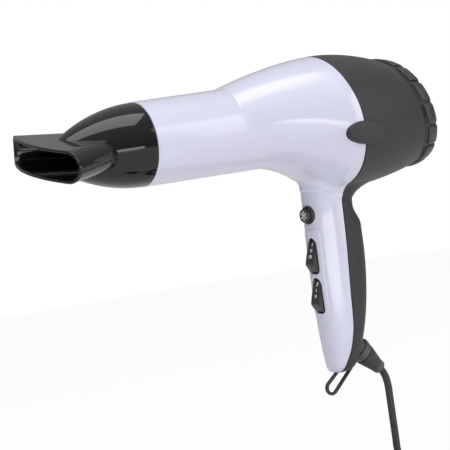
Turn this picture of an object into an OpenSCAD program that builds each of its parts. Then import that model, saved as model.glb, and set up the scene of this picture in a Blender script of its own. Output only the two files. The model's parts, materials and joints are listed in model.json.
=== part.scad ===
// Hand-held hair dryer. The origin is the middle of the grip, +X points to the nozzle, +Z is up.

/* [Barrel] */
// Outside radius of the barrel at its mouth
barrel_r = 26; // [25:0.5:27.5]
// Growth of the barrel's radius from its mouth to the hood
barrel_flare = 1.6; // [0.8:0.1:2]
// Distance from the grip forward to the barrel mouth
mouth_ahead = 139; // [132:1:156]
// Distance from the grip back to the rear seam
seam_behind = 58; // [56:1:61]
// Height of the barrel axis above the middle of the grip
axis_up = 105; // [103:1:109]
// Wall of the two covers
wall = 2.2; // [1.8:0.1:2.4]
// Gap along the seam between the two covers
seam_gap = 0.25; // [0.2:0.05:0.4]
// Length of the ring that ends the barrel
mouth_ring_len = 4.5; // [3:0.5:6]
// Length of the socket inside the mouth ring
socket_len = 16; // [15:1:20]

/* [Hood] */
// Largest radius of the hood around the fan
hood_r = 45.2; // [44.6:0.2:47]
// Length of the hood's long curve ahead of its widest ring
hood_front_len = 78; // [76:1:84]
// Length of the hood's long curve behind its widest ring
hood_rear_len = 106; // [100:1:112]
// Drop of the hood's centre below the barrel axis
hood_drop = 4.6; // [3.8:0.2:5.4]
// Distance of the hood's widest ring behind the grip
hood_back = 3; // [2:0.5:5]
// Tilt of the rear seam, its top leaning forward
tail_tilt = 13.7; // [10:0.1:16]
// Length of the oval side cap
oval_len = 30; // [24:1:32]
// Height of the oval side cap
oval_high = 15; // [13:0.5:18]
// Tilt of the oval side cap, its front end up
oval_tilt = 7; // [0:1:12]
// How far the oval side cap stands proud
oval_proud = 2.3; // [1.4:0.1:3]

/* [Handle] */
// Half width of the handle
handle_half_w = 14; // [13.6:0.2:15.2]
// Distance of the handle's front face ahead of the grip's middle, at its fullest
front_ahead = 20.8; // [20.4:0.2:22]
// Distance of the handle's back behind the grip's middle, at its fullest
back_behind = 19.2; // [18.8:0.2:21.6]
// Radius of the long arc of the handle's front
front_arc_r = 900; // [700:10:1500]
// Radius of the long arc of the handle's back
back_arc_r = 185; // [170:1:230]
// Distance of the handle's tip below the grip's middle
handle_drop = 64; // [63:1:70]
// Depth of the thumb dent at the top of the handle's back
neck_dent = 5; // [3:0.2:5.4]
// Number of grip grooves across the handle's back
grip_count = 9; // [5:1:10]
// Distance from one grip groove to the next
grip_pitch = 6.1; // [5:0.1:6.4]

/* [Controls] */
// Length of each rocker along the handle
rocker_len = 22.8; // [21:0.2:23]
// Width of each rocker
rocker_w = 9; // [8.2:0.2:9.4]
// Radius of a rocker's lower corners
rocker_corner = 2.2; // [1.4:0.2:3]
// How far a rocker's nose stands out of the panel
rocker_nose = 3.2; // [3:0.2:4.6]
// How far a rocker's upper end lies below the panel
rocker_dish = 2.2; // [1:0.2:2.4]
// Height of the heat rocker's pivot
heat_z = 15.4; // [15:0.2:16]
// Height of the speed rocker's pivot
speed_z = -11; // [-11.6:0.2:-10.6]
// Height of the cool shot button
cool_z = 42.6; // [42.2:0.2:43]
// Radius of the cool shot button's cap
cool_r = 4.6; // [3.8:0.1:4.8]
// How far the cool shot button is pressed in
cool_travel = 2.4; // [1.6:0.1:2.6]

/* [Nozzle] */
// Length of the nozzle ahead of the barrel, at the middle of its lip
nozzle_len = 71; // [68:1:78]
// Outside width of the nozzle's slot
slot_w = 85; // [78:1:92]
// Outside height of the nozzle's slot
slot_h = 19; // [18:0.5:22]
// Wall of the nozzle
nozzle_wall = 1.8; // [1.5:0.1:2]
// How far the lip bows forward at its middle
lip_bow = 10; // [8:0.5:14]
// Length of the nozzle's dome, from the barrel to its hidden tip
dome_len = 62; // [58:1:64]
// Turn of the nozzle on the barrel, its left end down
nozzle_turn = 12; // [0:1:30]
// Length of the sleeve that enters the mouth ring
sleeve_len = 12; // [10:0.5:14]

/* [Rear cap] */
// Length of the rear cap behind the seam
cap_len = 12; // [11:0.5:15]
// Number of raised grips around the cap's rim
cap_grips = 15; // [10:1:18]
// Wall of the rear cap
cap_wall = 2; // [1.6:0.1:2.4]
// Number of spokes in the cap's grille
cap_spokes = 10; // [6:1:12]

/* [Fan and motor] */
// Clearance between the fan's blades and the duct round them
fan_gap = 1.2; // [1:0.1:3]
// Number of fan blades
fan_blades = 9; // [5:1:11]
// Length of the fan's hub
fan_len = 15; // [12:0.5:16]
// Radius of the motor's steel can
motor_r = 12.2; // [11.6:0.1:12.4]
// Length of the motor's steel can
motor_len = 24; // [22:0.5:26]
// Radius of the motor's shaft
shaft_r = 1.5; // [1.4:0.05:1.6]
// Number of vanes that hold the motor in the duct
duct_vanes = 7; // [5:1:9]

/* [Heater] */
// Length of the heater's mica cross
heater_len = 56; // [50:1:58]
// Turns of heating wire
heater_turns = 8; // [5:1:9]
// Depth of the heating coil below the edge of the mica cross's tube
winding_in = 4.6; // [3.8:0.2:6]

/* [Cord] */
// Diameter of the cord
cord_d = 5; // [4.8:0.1:5.4]
// Length of the strain relief outside the handle
boot_len = 24; // [22:1:28]
// Radius of the strain relief where it leaves the handle
boot_r = 8.2; // [7.8:0.1:8.4]
// Mean radius of the stored coil of cord
coil_r = 27.5; // [26.5:0.5:29]
// Turns side by side in the coil
coil_columns = 4; // [3:1:4]
// Layers of turns in the coil
coil_layers = 3; // [2:1:3]
// Distance between the plug's pins
pin_pitch = 19; // [18.6:0.1:19.4]
// Radius of a plug pin
pin_r = 2.4; // [2:0.05:2.5]
// Length of a plug pin
pin_len = 19; // [17:0.5:20]

/* [Hidden] */

body_colour = [0.80, 0.80, 0.90];
dark_colour = [0.24, 0.24, 0.25];
black_colour = [0.05, 0.05, 0.06];
grey_colour = [0.40, 0.40, 0.41];
steel_colour = [0.72, 0.73, 0.75];
copper_colour = [0.80, 0.50, 0.30];
mica_colour = [0.82, 0.76, 0.62];

$fn = 64;
tiny = 0.01;
run_gap = 0.05;
free_gap = 0.3;

// ---- helpers ----

// 0 at or below 0, 1 at or above 1, smooth between
function ease(t) = let (u = min(1, max(0, t))) u * u * (3 - 2 * u);

// a rounded oblong of half sizes a and b; power 2 is an ellipse and more is squarer
function oblong(a, b, power, steps = 32) = [for (i = [0 : steps - 1])
    let (c = cos(360 * i / steps), s = sin(360 * i / steps))
    [a * sign(c) * pow(abs(c), 2 / power), b * sign(s) * pow(abs(s), 2 / power)]];

// a point on the smooth curve through p1 and p2, with p0 and p3 before and after
function curve_point(p0, p1, p2, p3, t) = 0.5 * (2 * p1 + (p2 - p0) * t
    + (2 * p0 - 5 * p1 + 4 * p2 - p3) * t * t + (3 * p1 - p0 - 3 * p2 + p3) * t * t * t);

// a smooth curve through all the points
function smooth(p, steps) = let (n = len(p) - 1) concat([for (i = [0 : n - 1], k = [0 : steps - 1])
    curve_point(p[max(0, i - 1)], p[i], p[i + 1], p[min(n, i + 2)], k / steps)], [p[n]]);

function unit(v) = v / norm(v);

// the ring of a swept tube around point i of a path; side is a direction that the path never takes
function tube_ring(path, i, r, sides, side) =
    let (n = len(path) - 1)
    let (t = unit(path[min(n, i + 1)] - path[max(0, i - 1)]))
    let (u = unit(cross(side, t)), v = cross(t, u))
    [for (k = [0 : sides - 1]) path[i] + r * (cos(360 * k / sides) * u + sin(360 * k / sides) * v)];

// a tube swept along a path as one closed polyhedron
module tube(path, r, sides, side) {
    n = len(path);
    points = [for (i = [0 : n - 1], q = tube_ring(path, i, r, sides, side)) q];
    walls = [for (i = [0 : n - 2], k = [0 : sides - 1]) let (m = (k + 1) % sides)
        [i * sides + k, (i + 1) * sides + k, (i + 1) * sides + m, i * sides + m]];
    polyhedron(points, concat([[for (k = [0 : sides - 1]) k]], walls,
        [[for (k = [sides - 1 : -1 : 0]) (n - 1) * sides + k]]), convexity = 10);
}

// stands children on a ring around the barrel axis, their z along +X, starting at x
module on_axis(x, up = 0) {
    translate([x, 0, axis_up + up]) rotate([0, 90, 0]) children();
}

module ring(outer, inner, length) {
    difference() {
        cylinder(r = outer, h = length);
        translate([0, 0, -1]) cylinder(r = inner, h = length + 2);
    }
}

// ---- outer form of the body ----

handle_top = axis_up - 33;
hood_centre = -hood_drop;
hood_front = hood_front_len - hood_back;
hood_step = 0.5;
hood_front_power = 1.65;
hood_front_half = barrel_r + barrel_flare * (1 - hood_front / mouth_ahead) + hood_step + hood_drop;
hood_steps = 11;
chin_x = 75;
belly_x = 5;
front_full_z = -12;
back_full_z = 22;
dent_z = 31;
dent_len = 13;
handle_power = 2.5;
tip_narrowing = 0.45;
neck_z = axis_up - 58;
neck_flare = 12;
neck_power = 2.3;
lip_flare = 0.5;

function hood_half(x) = let (d = x + hood_back) d < 0
    ? hood_r * sqrt(1 - pow(d / hood_rear_len, 2))
    : hood_r - (hood_r - hood_front_half) * pow(d / hood_front_len, hood_front_power);
function hood_top(x) = hood_centre + hood_half(x);
function hood_low(x) = let (k = 1 - pow(1 - min(1, max(0, (x - belly_x) / (chin_x - belly_x))), 2))
    (1 - k) * (hood_centre - hood_half(x)) + k * (1 - barrel_r);
function hood_mid(x) = (hood_top(x) + hood_low(x)) / 2;
function hood_ring_r(x) = (hood_top(x) - hood_low(x)) / 2;

// how far the handle's top spreads to meet the hood, 0 below the neck
function flare(z) = pow(max(0, z - neck_z) / 10, neck_power);
function front_x(z) = front_ahead - pow(z - front_full_z, 2) / (2 * front_arc_r) + lip_flare * flare(z);
function front_slope(z) = -(z - front_full_z) / front_arc_r;
function back_x(z) = -back_behind + pow(min(0, z - back_full_z), 2) / (2 * back_arc_r)
    + neck_dent * ease((z - dent_z) / dent_len) - neck_flare * flare(z);
function half_width(z) = handle_half_w * (1 - tip_narrowing * pow(max(0, -20 - z) / 46, 2));

module barrel_form(inset) {
    on_axis(0) cylinder(r1 = barrel_r + barrel_flare - inset, r2 = barrel_r - inset, h = mouth_ahead);
}

// one ring of the hood; behind the grip the rings lean over to meet the tilted rear seam
module hood_slice(x, inset) {
    lean = tail_tilt * max(0, -x / seam_behind);
    translate([x, 0, axis_up + hood_mid(x)]) rotate([0, 90 + lean, 0])
        cylinder(r = hood_ring_r(x) - inset, h = tiny, $fn = 40);
}

module hood_form(inset) {
    span = hood_front + seam_behind;
    for (i = [0 : hood_steps - 1]) {
        hull() {
            hood_slice(-seam_behind + span * i / hood_steps, inset);
            hood_slice(-seam_behind + span * (i + 1) / hood_steps, inset);
        }
    }
}

module handle_slice(z, inset) {
    depth = front_x(z) - back_x(z);
    translate([(front_x(z) + back_x(z)) / 2, 0, z]) linear_extrude(tiny)
        polygon(oblong(depth / 2 - inset, half_width(z) - inset, handle_power));
}

// side outline that rounds the handle's lower end and cuts it back where the cord leaves
module handle_outline(inset) {
    offset(delta = -inset) offset(r = 5) offset(delta = -5) polygon([[-40, handle_top + 1], [-40, -40],
        [-11.8, -45.4], [1.5, 5.7 - handle_drop], [6, 1.5 - handle_drop], [10, -handle_drop],
        [19, -handle_drop], [front_x(-54) + 1, -54], [40, -44], [40, handle_top + 1]]);
}

module handle_form(inset) {
    levels = [-handle_drop, -handle_drop + 8, -handle_drop + 18, -34, -20, 0, back_full_z, dent_z, dent_z + 5,
        dent_z + 9, neck_z, neck_z + 4, neck_z + 7, neck_z + 10, neck_z + 13, handle_top];
    intersection() {
        for (i = [0 : len(levels) - 2]) {
            hull() {
                handle_slice(levels[i], inset);
                handle_slice(levels[i + 1], inset);
            }
        }
        rotate([90, 0, 0]) translate([0, 0, -30]) linear_extrude(60) handle_outline(inset);
    }
}

module body_form(inset) {
    barrel_form(inset);
    hood_form(inset);
    handle_form(inset);
}

module body_shell() {
    difference() {
        body_form(0);
        body_form(wall);
        on_axis(mouth_ahead - mouth_ring_len) cylinder(r = barrel_r + 5, h = 20);
        on_tail(-free_gap / 2) cylinder(r = hood_r, h = 30);
        on_tail(-6) cylinder(r = tail_r - wall, h = 30);
    }
}

tail_r = hood_half(-seam_behind);

// stands children on the axis of the tilted rear seam, their z pointing back, starting behind the seam
module on_tail(back) {
    translate([-seam_behind, 0, axis_up + hood_centre]) rotate([0, tail_tilt - 90, 0])
        translate([0, 0, back]) children();
}

// the seam between the covers, seen from the side, from the hood's top to the handle's tip
seam_line = smooth([[5, axis_up + 50], [3, axis_up + 35], [1, axis_up + 19], [-1.5, axis_up + 3],
    [-3.8, axis_up - 21], [-5.2, axis_up - 35], [-5.2, 64], [-4, 59], [-1.2, 55], [0.2, 50], [0.4, 40],
    [1.4, 18], [4, -14], [5.2, -36], [8, -49], [13, -59.5], [19, -70]], 3);

module seam_side(far_x, shift) {
    rotate([90, 0, 0]) translate([0, 0, -60]) linear_extrude(120)
        translate([shift, 0]) polygon(concat(seam_line, [[far_x, -90], [far_x, 160]]));
}

// ---- covers ----

panel_half_w = 8;
panel_top = 33;
panel_low = -30;
panel_deep = 3;
panel_gap = 0.2;
screw_r = 1.2;
screw_head_r = 2.6;
screw_zs = [54, -34];
boss_r = 3;

// turns children so that their +Z leans with the handle's front face and their +X stands out of it
module on_front(z) {
    translate([front_x(z), 0, z]) rotate([0, atan(front_slope(z)), 0]) children();
}

// rounded plate outline of the switch panel, drawn in the plane of the handle's front
module panel_outline(grow) {
    half = panel_half_w + grow;
    low = (panel_low - panel_top) / 2 - grow;
    high = (panel_top - panel_low) / 2 + grow;
    hull() {
        translate([low + half, 0]) circle(r = half, $fn = 48);
        translate([high - 4, half - 4]) circle(r = 4, $fn = 32);
        translate([high - 4, 4 - half]) circle(r = 4, $fn = 32);
    }
}

// a block with the panel's outline, from depth back to depth front of the handle's front face
module panel_block(grow, back, front) {
    on_front((panel_top + panel_low) / 2) rotate([0, 90, 0]) mirror([1, 0, 0])
        translate([0, 0, back]) linear_extrude(front - back) panel_outline(grow);
}

// clearance between a cover screw and its post
boss_gap = 0.15;

module cover_boss(z) {
    translate([seam_x(z) + 0.5, 0, z]) rotate([0, 90, 0]) difference() {
        cylinder(r = boss_r, h = front_x(z) - seam_x(z) - 1, $fn = 24);
        translate([0, 0, -1]) cylinder(r = screw_r + boss_gap, h = front_x(z) - seam_x(z) - 4, $fn = 24);
    }
}

// x of the seam at a height on the handle
function seam_x(z) = lookup(z, [for (p = seam_line) [p[1], p[0]]]);

bezel_r = 6.2;

module front_cover() {
    color(body_colour) {
        difference() {
            intersection() {
                body_shell();
                seam_side(200, seam_gap);
            }
            panel_block(panel_gap, -8, 10);
            translate([0, 0, cool_z]) rotate([0, 90, 0]) cylinder(r = bezel_r - 1, h = 40);
            translate([front_x(cool_z) - bezel_seat, 0, cool_z]) rotate([0, 90, 0])
                cylinder(r = bezel_r + panel_gap, h = 20);
            boot_hole();
        }
        for (z = screw_zs) {
            cover_boss(z);
        }
    }
}

module rear_cover() {
    color(dark_colour) difference() {
        intersection() {
            body_shell();
            seam_side(-200, -seam_gap);
        }
        for (i = [0 : grip_count - 1]) {
            z = back_full_z + grip_pitch * (i - (grip_count - 1) / 2);
            translate([back_x(z) - 0.6, 0, z]) rotate([90, 0, 0])
                cylinder(r = 1.3, h = 60, center = true, $fn = 16);
        }
        for (z = screw_zs) {
            translate([-60, 0, z]) rotate([0, 90, 0]) cylinder(r = screw_head_r + 0.2, h = 60 + screw_seat(z));
            translate([-60, 0, z]) rotate([0, 90, 0]) cylinder(r = screw_r + 0.2, h = 62, $fn = 24);
        }
        boot_hole();
    }
}

// x of the step under each cover screw's head
function screw_seat(z) = back_x(z) + (z > 50 ? 1.4 : 1);

screw_len = 23.4;

module cover_screws() {
    color(steel_colour) for (z = screw_zs) {
        translate([screw_seat(z), 0, z]) rotate([0, 90, 0]) cylinder(r = screw_r, h = screw_len);
        translate([screw_seat(z) - 1.2, 0, z]) rotate([0, 90, 0]) cylinder(r = screw_head_r, h = 1.2);
    }
}

socket_r = barrel_r - wall - 1.2;

module mouth_ring() {
    color(body_colour) on_axis(mouth_ahead - mouth_ring_len - socket_len) union() {
        ring(barrel_r - wall - 0.2, socket_r, socket_len + 1);
        translate([0, 0, socket_len + free_gap / 2]) ring(barrel_r, socket_r, mouth_ring_len - free_gap / 2);
    }
}

module oval_cap() {
    difference() {
        translate([-hood_back - 1, 0, axis_up - 14]) rotate([0, -oval_tilt, 0]) rotate([-90, 0, 0]) {
            linear_extrude(hood_r - 1 + oval_proud - 1) polygon(oblong(oval_len / 2, oval_high / 2, 2.2));
            linear_extrude(hood_r - 1 + oval_proud)
                polygon(oblong(oval_len / 2 - 1, oval_high / 2 - 1, 2.2));
        }
        hood_form(-run_gap);
    }
}

module oval_cap_left() {
    color(dark_colour) oval_cap();
}

module oval_cap_right() {
    color(dark_colour) mirror([0, 1, 0]) oval_cap();
}

// ---- nozzle ----

nozzle_x = mouth_ahead + free_gap;
lip_r = (slot_w * slot_w / 4 + lip_bow * lip_bow) / (2 * lip_bow);
spout_steps = 4;
spout_root = 12;
spout_root_w = 28;
shoulder = 2;

// radius of the dome at a share of its length; the curve leaves the barrel nearly straight
function dome_r(t, inset) = (barrel_r - 0.3) * pow(1 - pow(t, 1.9), 0.8) - inset;

module dome(inset) {
    steps = 10;
    first = inset > 0 ? shoulder / dome_len : 0;
    last = 0.93;
    on_axis(nozzle_x) rotate_extrude($fn = 56) polygon(concat([[0, first * dome_len]],
        [for (i = [0 : steps]) let (t = first + (last - first) * i / steps) [dome_r(t, inset), t * dome_len]],
        [[0, last * dome_len]]));
}

// flat oblong section of the spout at distance x ahead of the barrel
module spout_slice(x, inset) {
    t = (x - spout_root) / (nozzle_len - lip_bow - spout_root);
    half = (spout_root_w + (slot_w - spout_root_w) * t) / 2 - slot_h / 2;
    translate([nozzle_x + x, 0, axis_up]) for (s = [-1, 1]) {
        translate([0, s * half, 0]) rotate([0, 90, 0]) cylinder(r = slot_h / 2 - inset, h = tiny, $fn = 28);
    }
}

module spout(inset) {
    span = nozzle_len + 0.5 - spout_root;
    for (i = [0 : spout_steps - 1]) {
        hull() {
            spout_slice(spout_root + span * i / spout_steps, inset);
            spout_slice(spout_root + span * (i + 1) / spout_steps, inset);
        }
    }
}

// turns children about the barrel axis as the nozzle is turned
module turned() {
    translate([0, 0, axis_up]) rotate([-nozzle_turn, 0, 0]) translate([0, 0, -axis_up]) children();
}

module nozzle() {
    sleeve_r = socket_r - 0.25;
    color(black_colour) turned() difference() {
        union() {
            dome(0);
            intersection() {
                spout(0);
                translate([nozzle_x + nozzle_len - lip_r, 0, 0]) cylinder(r = lip_r, h = 200, $fn = 120);
            }
            on_axis(nozzle_x - sleeve_len) cylinder(r = sleeve_r, h = sleeve_len + 1);
        }
        dome(nozzle_wall);
        spout(nozzle_wall);
        on_axis(nozzle_x - sleeve_len - 1) cylinder(r = sleeve_r - nozzle_wall, h = sleeve_len + 4);
        on_axis(nozzle_x - clip_back - clip_w - 0.2) ring(sleeve_r + 1, sleeve_r - 0.9, clip_w + 0.4);
    }
}

clip_w = 2.4;
clip_back = 5;

module nozzle_clip() {
    color(steel_colour) on_axis(nozzle_x - clip_back - clip_w) rotate([0, 0, 15])
        rotate_extrude(angle = 330) translate([socket_r - 0.25 - 0.7, 0]) square([0.8, clip_w]);
}

// ---- heater ----

grille_x = mouth_ahead - mouth_ring_len - socket_len - 4;
heater_x = grille_x - heater_len - 6;
mica_r = barrel_r - wall - 2;
winding_r = mica_r - winding_in;

module outlet_grille() {
    color(black_colour) on_axis(grille_x) {
        ring(barrel_r - wall - 0.3, mica_r - 1.5, 3.5);
        for (r = [7, 12, 17]) {
            ring(r, r - 1.3, 3);
        }
        for (a = [0 : 45 : 135]) {
            rotate([0, 0, a]) translate([1 - mica_r, -0.6, 0]) cube([2 * mica_r - 2, 1.2, 3]);
        }
    }
}

module mica_tube() {
    color(mica_colour) on_axis(heater_x - 2) ring(mica_r, mica_r - 0.6, heater_len + 7);
}

wire_r = 0.7;
winding_pitch = (heater_len - 12) / heater_turns;
winding_start = 5.6;

module heater_cross() {
    color(mica_colour) on_axis(heater_x) difference() {
        union() {
            for (a = [0, 90]) {
                rotate([0, 0, a]) translate([-mica_r + 1.2, -0.6, 0]) cube([2 * mica_r - 2.4, 1.2, heater_len]);
            }
        }
        for (i = [0 : 4 * heater_turns]) {
            rotate([0, 0, 90 * i]) translate([winding_r, 0, winding_start + winding_pitch * i / 4])
                rotate([90, 0, 0]) cylinder(r = wire_r + 0.35, h = 3, center = true, $fn = 24);
        }
    }
}

module heater_wire() {
    steps = 18;
    color(steel_colour) on_axis(heater_x + winding_start) tube([for (i = [0 : heater_turns * steps])
        [winding_r * cos(360 * i / steps), winding_r * sin(360 * i / steps),
        winding_pitch * i / steps]], wire_r, 6, [0, 0, 1]);
}

module thermostat() {
    color(steel_colour) on_axis(heater_x + heater_len - 9) {
        translate([4, 1, 0]) cube([6, 3.5, 8]);
        translate([5, 2.2, -5]) cube([0.8, 0.8, 5]);
        translate([8, 2.2, -5]) cube([0.8, 0.8, 5]);
    }
}

module thermal_fuse() {
    color(steel_colour) on_axis(heater_x + 8) {
        translate([-8, -3, 8]) cylinder(r = 1.7, h = 9);
        translate([-8, -3, 2]) cylinder(r = 0.5, h = 22);
    }
}

// ---- fan and motor ----

motor_x = 8;
duct_back = -30;
duct_wide_r = hood_r - 11;
duct_wall = 1.4;
fan_r = duct_wide_r - duct_wall - fan_gap;
duct_vane_x = 8;
hub_wall = 1.4;
fan_x = motor_x - 12 - fan_len;

module fan_duct() {
    front_r = mica_r - 0.4;
    outline = [[front_r, 38], [front_r + 4.2, 24], [duct_wide_r, 3], [duct_wide_r, duct_back]];
    color(grey_colour) on_axis(0) difference() {
        union() {
            rotate_extrude() polygon(concat(outline,
                [for (i = [3 : -1 : 0]) outline[i] - [duct_wall, 0]]));
            ring(motor_r + 0.3 + hub_wall, motor_r + 0.3, motor_x + 20);
            translate([0, 0, motor_x - 4]) ring(motor_r + 1, 5, 1.6);
            for (i = [0 : duct_vanes - 1]) {
                rotate([0, 0, 360 * i / duct_vanes]) translate([motor_r + 1, -0.7, duct_vane_x])
                    cube([front_r + 3.8 - motor_r - 1, 1.4, 14]);
            }
        }
        translate([0, 0, motor_x - 20]) cylinder(r = motor_r + 0.3, h = 15.9);
    }
}

can_wall = 0.9;
bush_r = 3.2;

module motor_can() {
    color(steel_colour) on_axis(motor_x) {
        ring(motor_r, motor_r - can_wall, motor_len);
        ring(motor_r, bush_r, 1.2);
    }
}

module motor_end() {
    color(black_colour) on_axis(motor_x + motor_len) ring(motor_r, bush_r, 3);
}

module motor_magnets() {
    color(grey_colour) on_axis(motor_x + 3) for (a = [-60, 120]) {
        rotate([0, 0, a]) rotate_extrude(angle = 120) translate([motor_r - can_wall - 1.7, 0])
            square([1.6, motor_len - 7]);
    }
}

module motor_rotor() {
    color(copper_colour) on_axis(motor_x + 5) {
        difference() {
            cylinder(r = motor_r - can_wall - 2.2, h = motor_len - 11);
            translate([0, 0, -1]) cylinder(r = shaft_r, h = motor_len);
            for (a = [0 : 72 : 288]) {
                rotate([0, 0, a]) translate([3.6, -0.8, -1]) cube([8, 1.6, motor_len]);
            }
        }
        translate([0, 0, motor_len - 11]) ring(3.2, shaft_r, 4);
    }
}

module motor_shaft() {
    color(steel_colour) on_axis(fan_x - 2) cylinder(r = shaft_r, h = motor_x + motor_len + 6 - fan_x);
}

module motor_bushes() {
    color(copper_colour) on_axis(motor_x) {
        ring(bush_r, shaft_r + run_gap, 3);
        translate([0, 0, motor_len - 0.5]) ring(bush_r, shaft_r + run_gap, 3.5);
    }
}

module rectifier_board() {
    color("darkgreen") on_axis(motor_x + motor_len + 5) {
        ring(motor_r - 1, 4, 1.2);
        for (a = [0 : 90 : 270]) {
            rotate([0, 0, a + 45]) translate([7.4, -2, 1.2 + 1.1]) rotate([-90, 0, 0]) cylinder(r = 1.2, h = 4);
        }
    }
}

module fan() {
    color(black_colour) on_axis(fan_x) difference() {
        union() {
            cylinder(r = 8.6, h = fan_len);
            intersection() {
                cylinder(r = fan_r, h = fan_len);
                for (i = [0 : fan_blades - 1]) {
                    rotate([0, 0, 360 * i / fan_blades]) translate([20, 0, fan_len / 2]) rotate([38, 0, 0])
                        cube([26, 1.4, 30], center = true);
                }
            }
        }
        translate([0, 0, -1]) cylinder(r = shaft_r, h = fan_len + 2);
    }
}

// ---- rear cap and filter ----

spigot_r = tail_r - wall - 0.5;
cap_ring_pitch = 6.4;
inlet_r = 0.84 * spigot_r;

module inlet_ring() {
    color(black_colour) on_tail(-9) {
        ring(spigot_r - 0.1, inlet_r, 2);
        for (a = [0 : 60 : 120]) {
            rotate([0, 0, a]) translate([-inlet_r - 1, -0.8, 0.3]) cube([2 * inlet_r + 2, 1.6, 1.4]);
        }
    }
}

module filter_frame() {
    color(dark_colour) on_tail(-6) {
        ring(spigot_r - 1.9, spigot_r - 4.2, 4);
        for (a = [0, 90]) {
            rotate([0, 0, a]) translate([-spigot_r + 3, -0.7, 0]) cube([2 * spigot_r - 6, 1.4, 1.4]);
        }
    }
}

module filter_mesh() {
    mesh_r = spigot_r - 4.2;
    color(steel_colour) on_tail(-4.4) intersection() {
        cylinder(r = mesh_r, h = 0.6);
        for (i = [-5 : 5]) {
            translate([5 * i - 0.5, -mesh_r, 0]) cube([1, 2 * mesh_r, 0.6]);
            translate([-mesh_r, 5 * i - 0.5, 0]) cube([2 * mesh_r, 1, 0.6]);
        }
    }
}

// leans children so that rings behind the seam lie straight behind it and not along its normal
module sheared() {
    multmatrix([[1, 0, -tan(tail_tilt), 0], [0, 1, 0, 0], [0, 0, 1, 0]]) children();
}

module rear_cap() {
    edge_r = tail_r - 2.1;
    face_r = edge_r - 3.4;
    taper = atan((tail_r - edge_r) / (cap_len - 2));
    rim = [[tail_r - 0.2, 0], [tail_r - 0.5, 2], [edge_r, cap_len - 1.8], [edge_r - 1, cap_len - 0.6],
        [face_r, cap_len], [face_r, cap_len - cap_wall], [edge_r - 2.6, cap_len - 3.4],
        [tail_r - 2 - cap_wall, 3], [tail_r - 2 - cap_wall, 0]];
    color(dark_colour) on_tail(free_gap / 2) sheared() {
        difference() {
            rotate_extrude($fn = 60) polygon(rim);
            for (i = [0 : cap_grips - 1]) {
                rotate([0, 0, 360 * (i + 0.5) / cap_grips]) translate([tail_r + 0.8, 0, 3])
                    rotate([0, -taper, 0]) cylinder(r = 1.7, h = cap_len, $fn = 12);
            }
        }
        translate([0, 0, cap_len - cap_wall]) {
            for (i = [0 : 3]) {
                ring(face_r + 0.4 - cap_ring_pitch * i, face_r - 1.6 - cap_ring_pitch * i, cap_wall, $fn = 48);
            }
            for (i = [0 : cap_spokes - 1]) {
                rotate([0, 0, 360 * i / cap_spokes]) translate([face_r - 3.2 * cap_ring_pitch, -0.7, 0])
                    cube([3.1 * cap_ring_pitch, 1.4, cap_wall]);
            }
            cylinder(r = face_r - 3.05 * cap_ring_pitch, h = cap_wall, $fn = 48);
        }
    }
    color(dark_colour) on_tail(-5) ring(spigot_r, spigot_r - 1.5, 6, $fn = 60);
}

// ---- controls ----

pivot_back = 5.6;
pivot_pin_r = 1.5;
ear_w = 1.2;
window_gap = 0.5;
rocker_slack = 0.2;

// outline of a rocker from the front, its upper end round and its lower corners rounded
module rocker_plan(grow) {
    half = rocker_w / 2 + grow;
    end = rocker_len / 2 + grow;
    corner = rocker_corner + grow;
    translate([half - end, 0]) circle(r = half);
    translate([half - end, -half]) square([2 * end - half - corner, 2 * half]);
    for (s = [-1, 1]) {
        translate([end - corner, s * (half - corner)]) circle(r = corner);
    }
    translate([end - corner - 0.1, corner - half]) square([corner + 0.1, 2 * (half - corner)]);
}

// a block of a rocker's outline through the handle's front, from depth back to depth front
module rocker_block(z, grow, back, front) {
    on_front(z) rotate([0, 90, 0]) translate([0, 0, back]) linear_extrude(front - back) rocker_plan(grow);
}

module switch_panel() {
    color(body_colour) difference() {
        intersection() {
            panel_block(0, -panel_deep, 2);
            handle_form(-0.3);
        }
        for (z = [heat_z, speed_z]) {
            rocker_block(z, window_gap, -12, 12);
        }
    }
}

// a three-position rocker, its pivot on the y axis
module rocker(z) {
    end_r = rocker_len / 2 - rocker_slack;
    dish = pivot_back - rocker_dish;
    nose = pivot_back + rocker_nose;
    intersection() {
        rocker_block(z, 0, -pivot_back - 2, rocker_nose + 1);
        on_front(z) translate([-pivot_back, 0, 0]) rotate([90, 0, 0])
            translate([0, 0, -rocker_w / 2]) linear_extrude(rocker_w) intersection() {
                circle(r = end_r, $fn = 96);
                polygon([[1.2, end_r], [dish, end_r], [dish, end_r - 1.2], [nose, -4.6], [nose - 0.5, -6.4],
                    [pivot_back - 0.4, -end_r], [1.2, -end_r]]);
            }
    }
    on_front(z) translate([-pivot_back, 0, 0]) rotate([90, 0, 0]) {
        translate([0, 0, -rocker_w / 2 - window_gap - ear_w])
            cylinder(r = pivot_pin_r, h = rocker_w + 2 * window_gap + 2 * ear_w);
        translate([-1.4, -1.8, -rocker_w / 2]) cube([4, 3.6, rocker_w]);
    }
}

module heat_rocker() {
    color(grey_colour) rocker(heat_z);
}

module speed_rocker() {
    color(grey_colour) rocker(speed_z);
}

// the contact block behind a rocker, with the two ears that carry its pivot
module rocker_switch(z) {
    ear_y = rocker_w / 2 + window_gap;
    on_front(z) translate([-pivot_back, 0, 0]) difference() {
        union() {
            translate([-14, -ear_y, -9]) cube([7, 2 * ear_y, 18]);
            for (s = [-1, 1]) {
                translate([-14, s * (ear_y + ear_w / 2) - ear_w / 2, -4]) cube([16.4, ear_w, 8]);
            }
            for (y = [-3, 3], h = [-6, 0, 6]) {
                translate([-17, y - 0.4, h - 1.2]) cube([3.5, 0.8, 2.4]);
            }
        }
        rotate([90, 0, 0]) cylinder(r = pivot_pin_r + run_gap, h = 30, center = true);
    }
}

module heat_switch() {
    color(black_colour) rocker_switch(heat_z);
}

module speed_switch() {
    color(black_colour) rocker_switch(speed_z);
}

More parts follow.
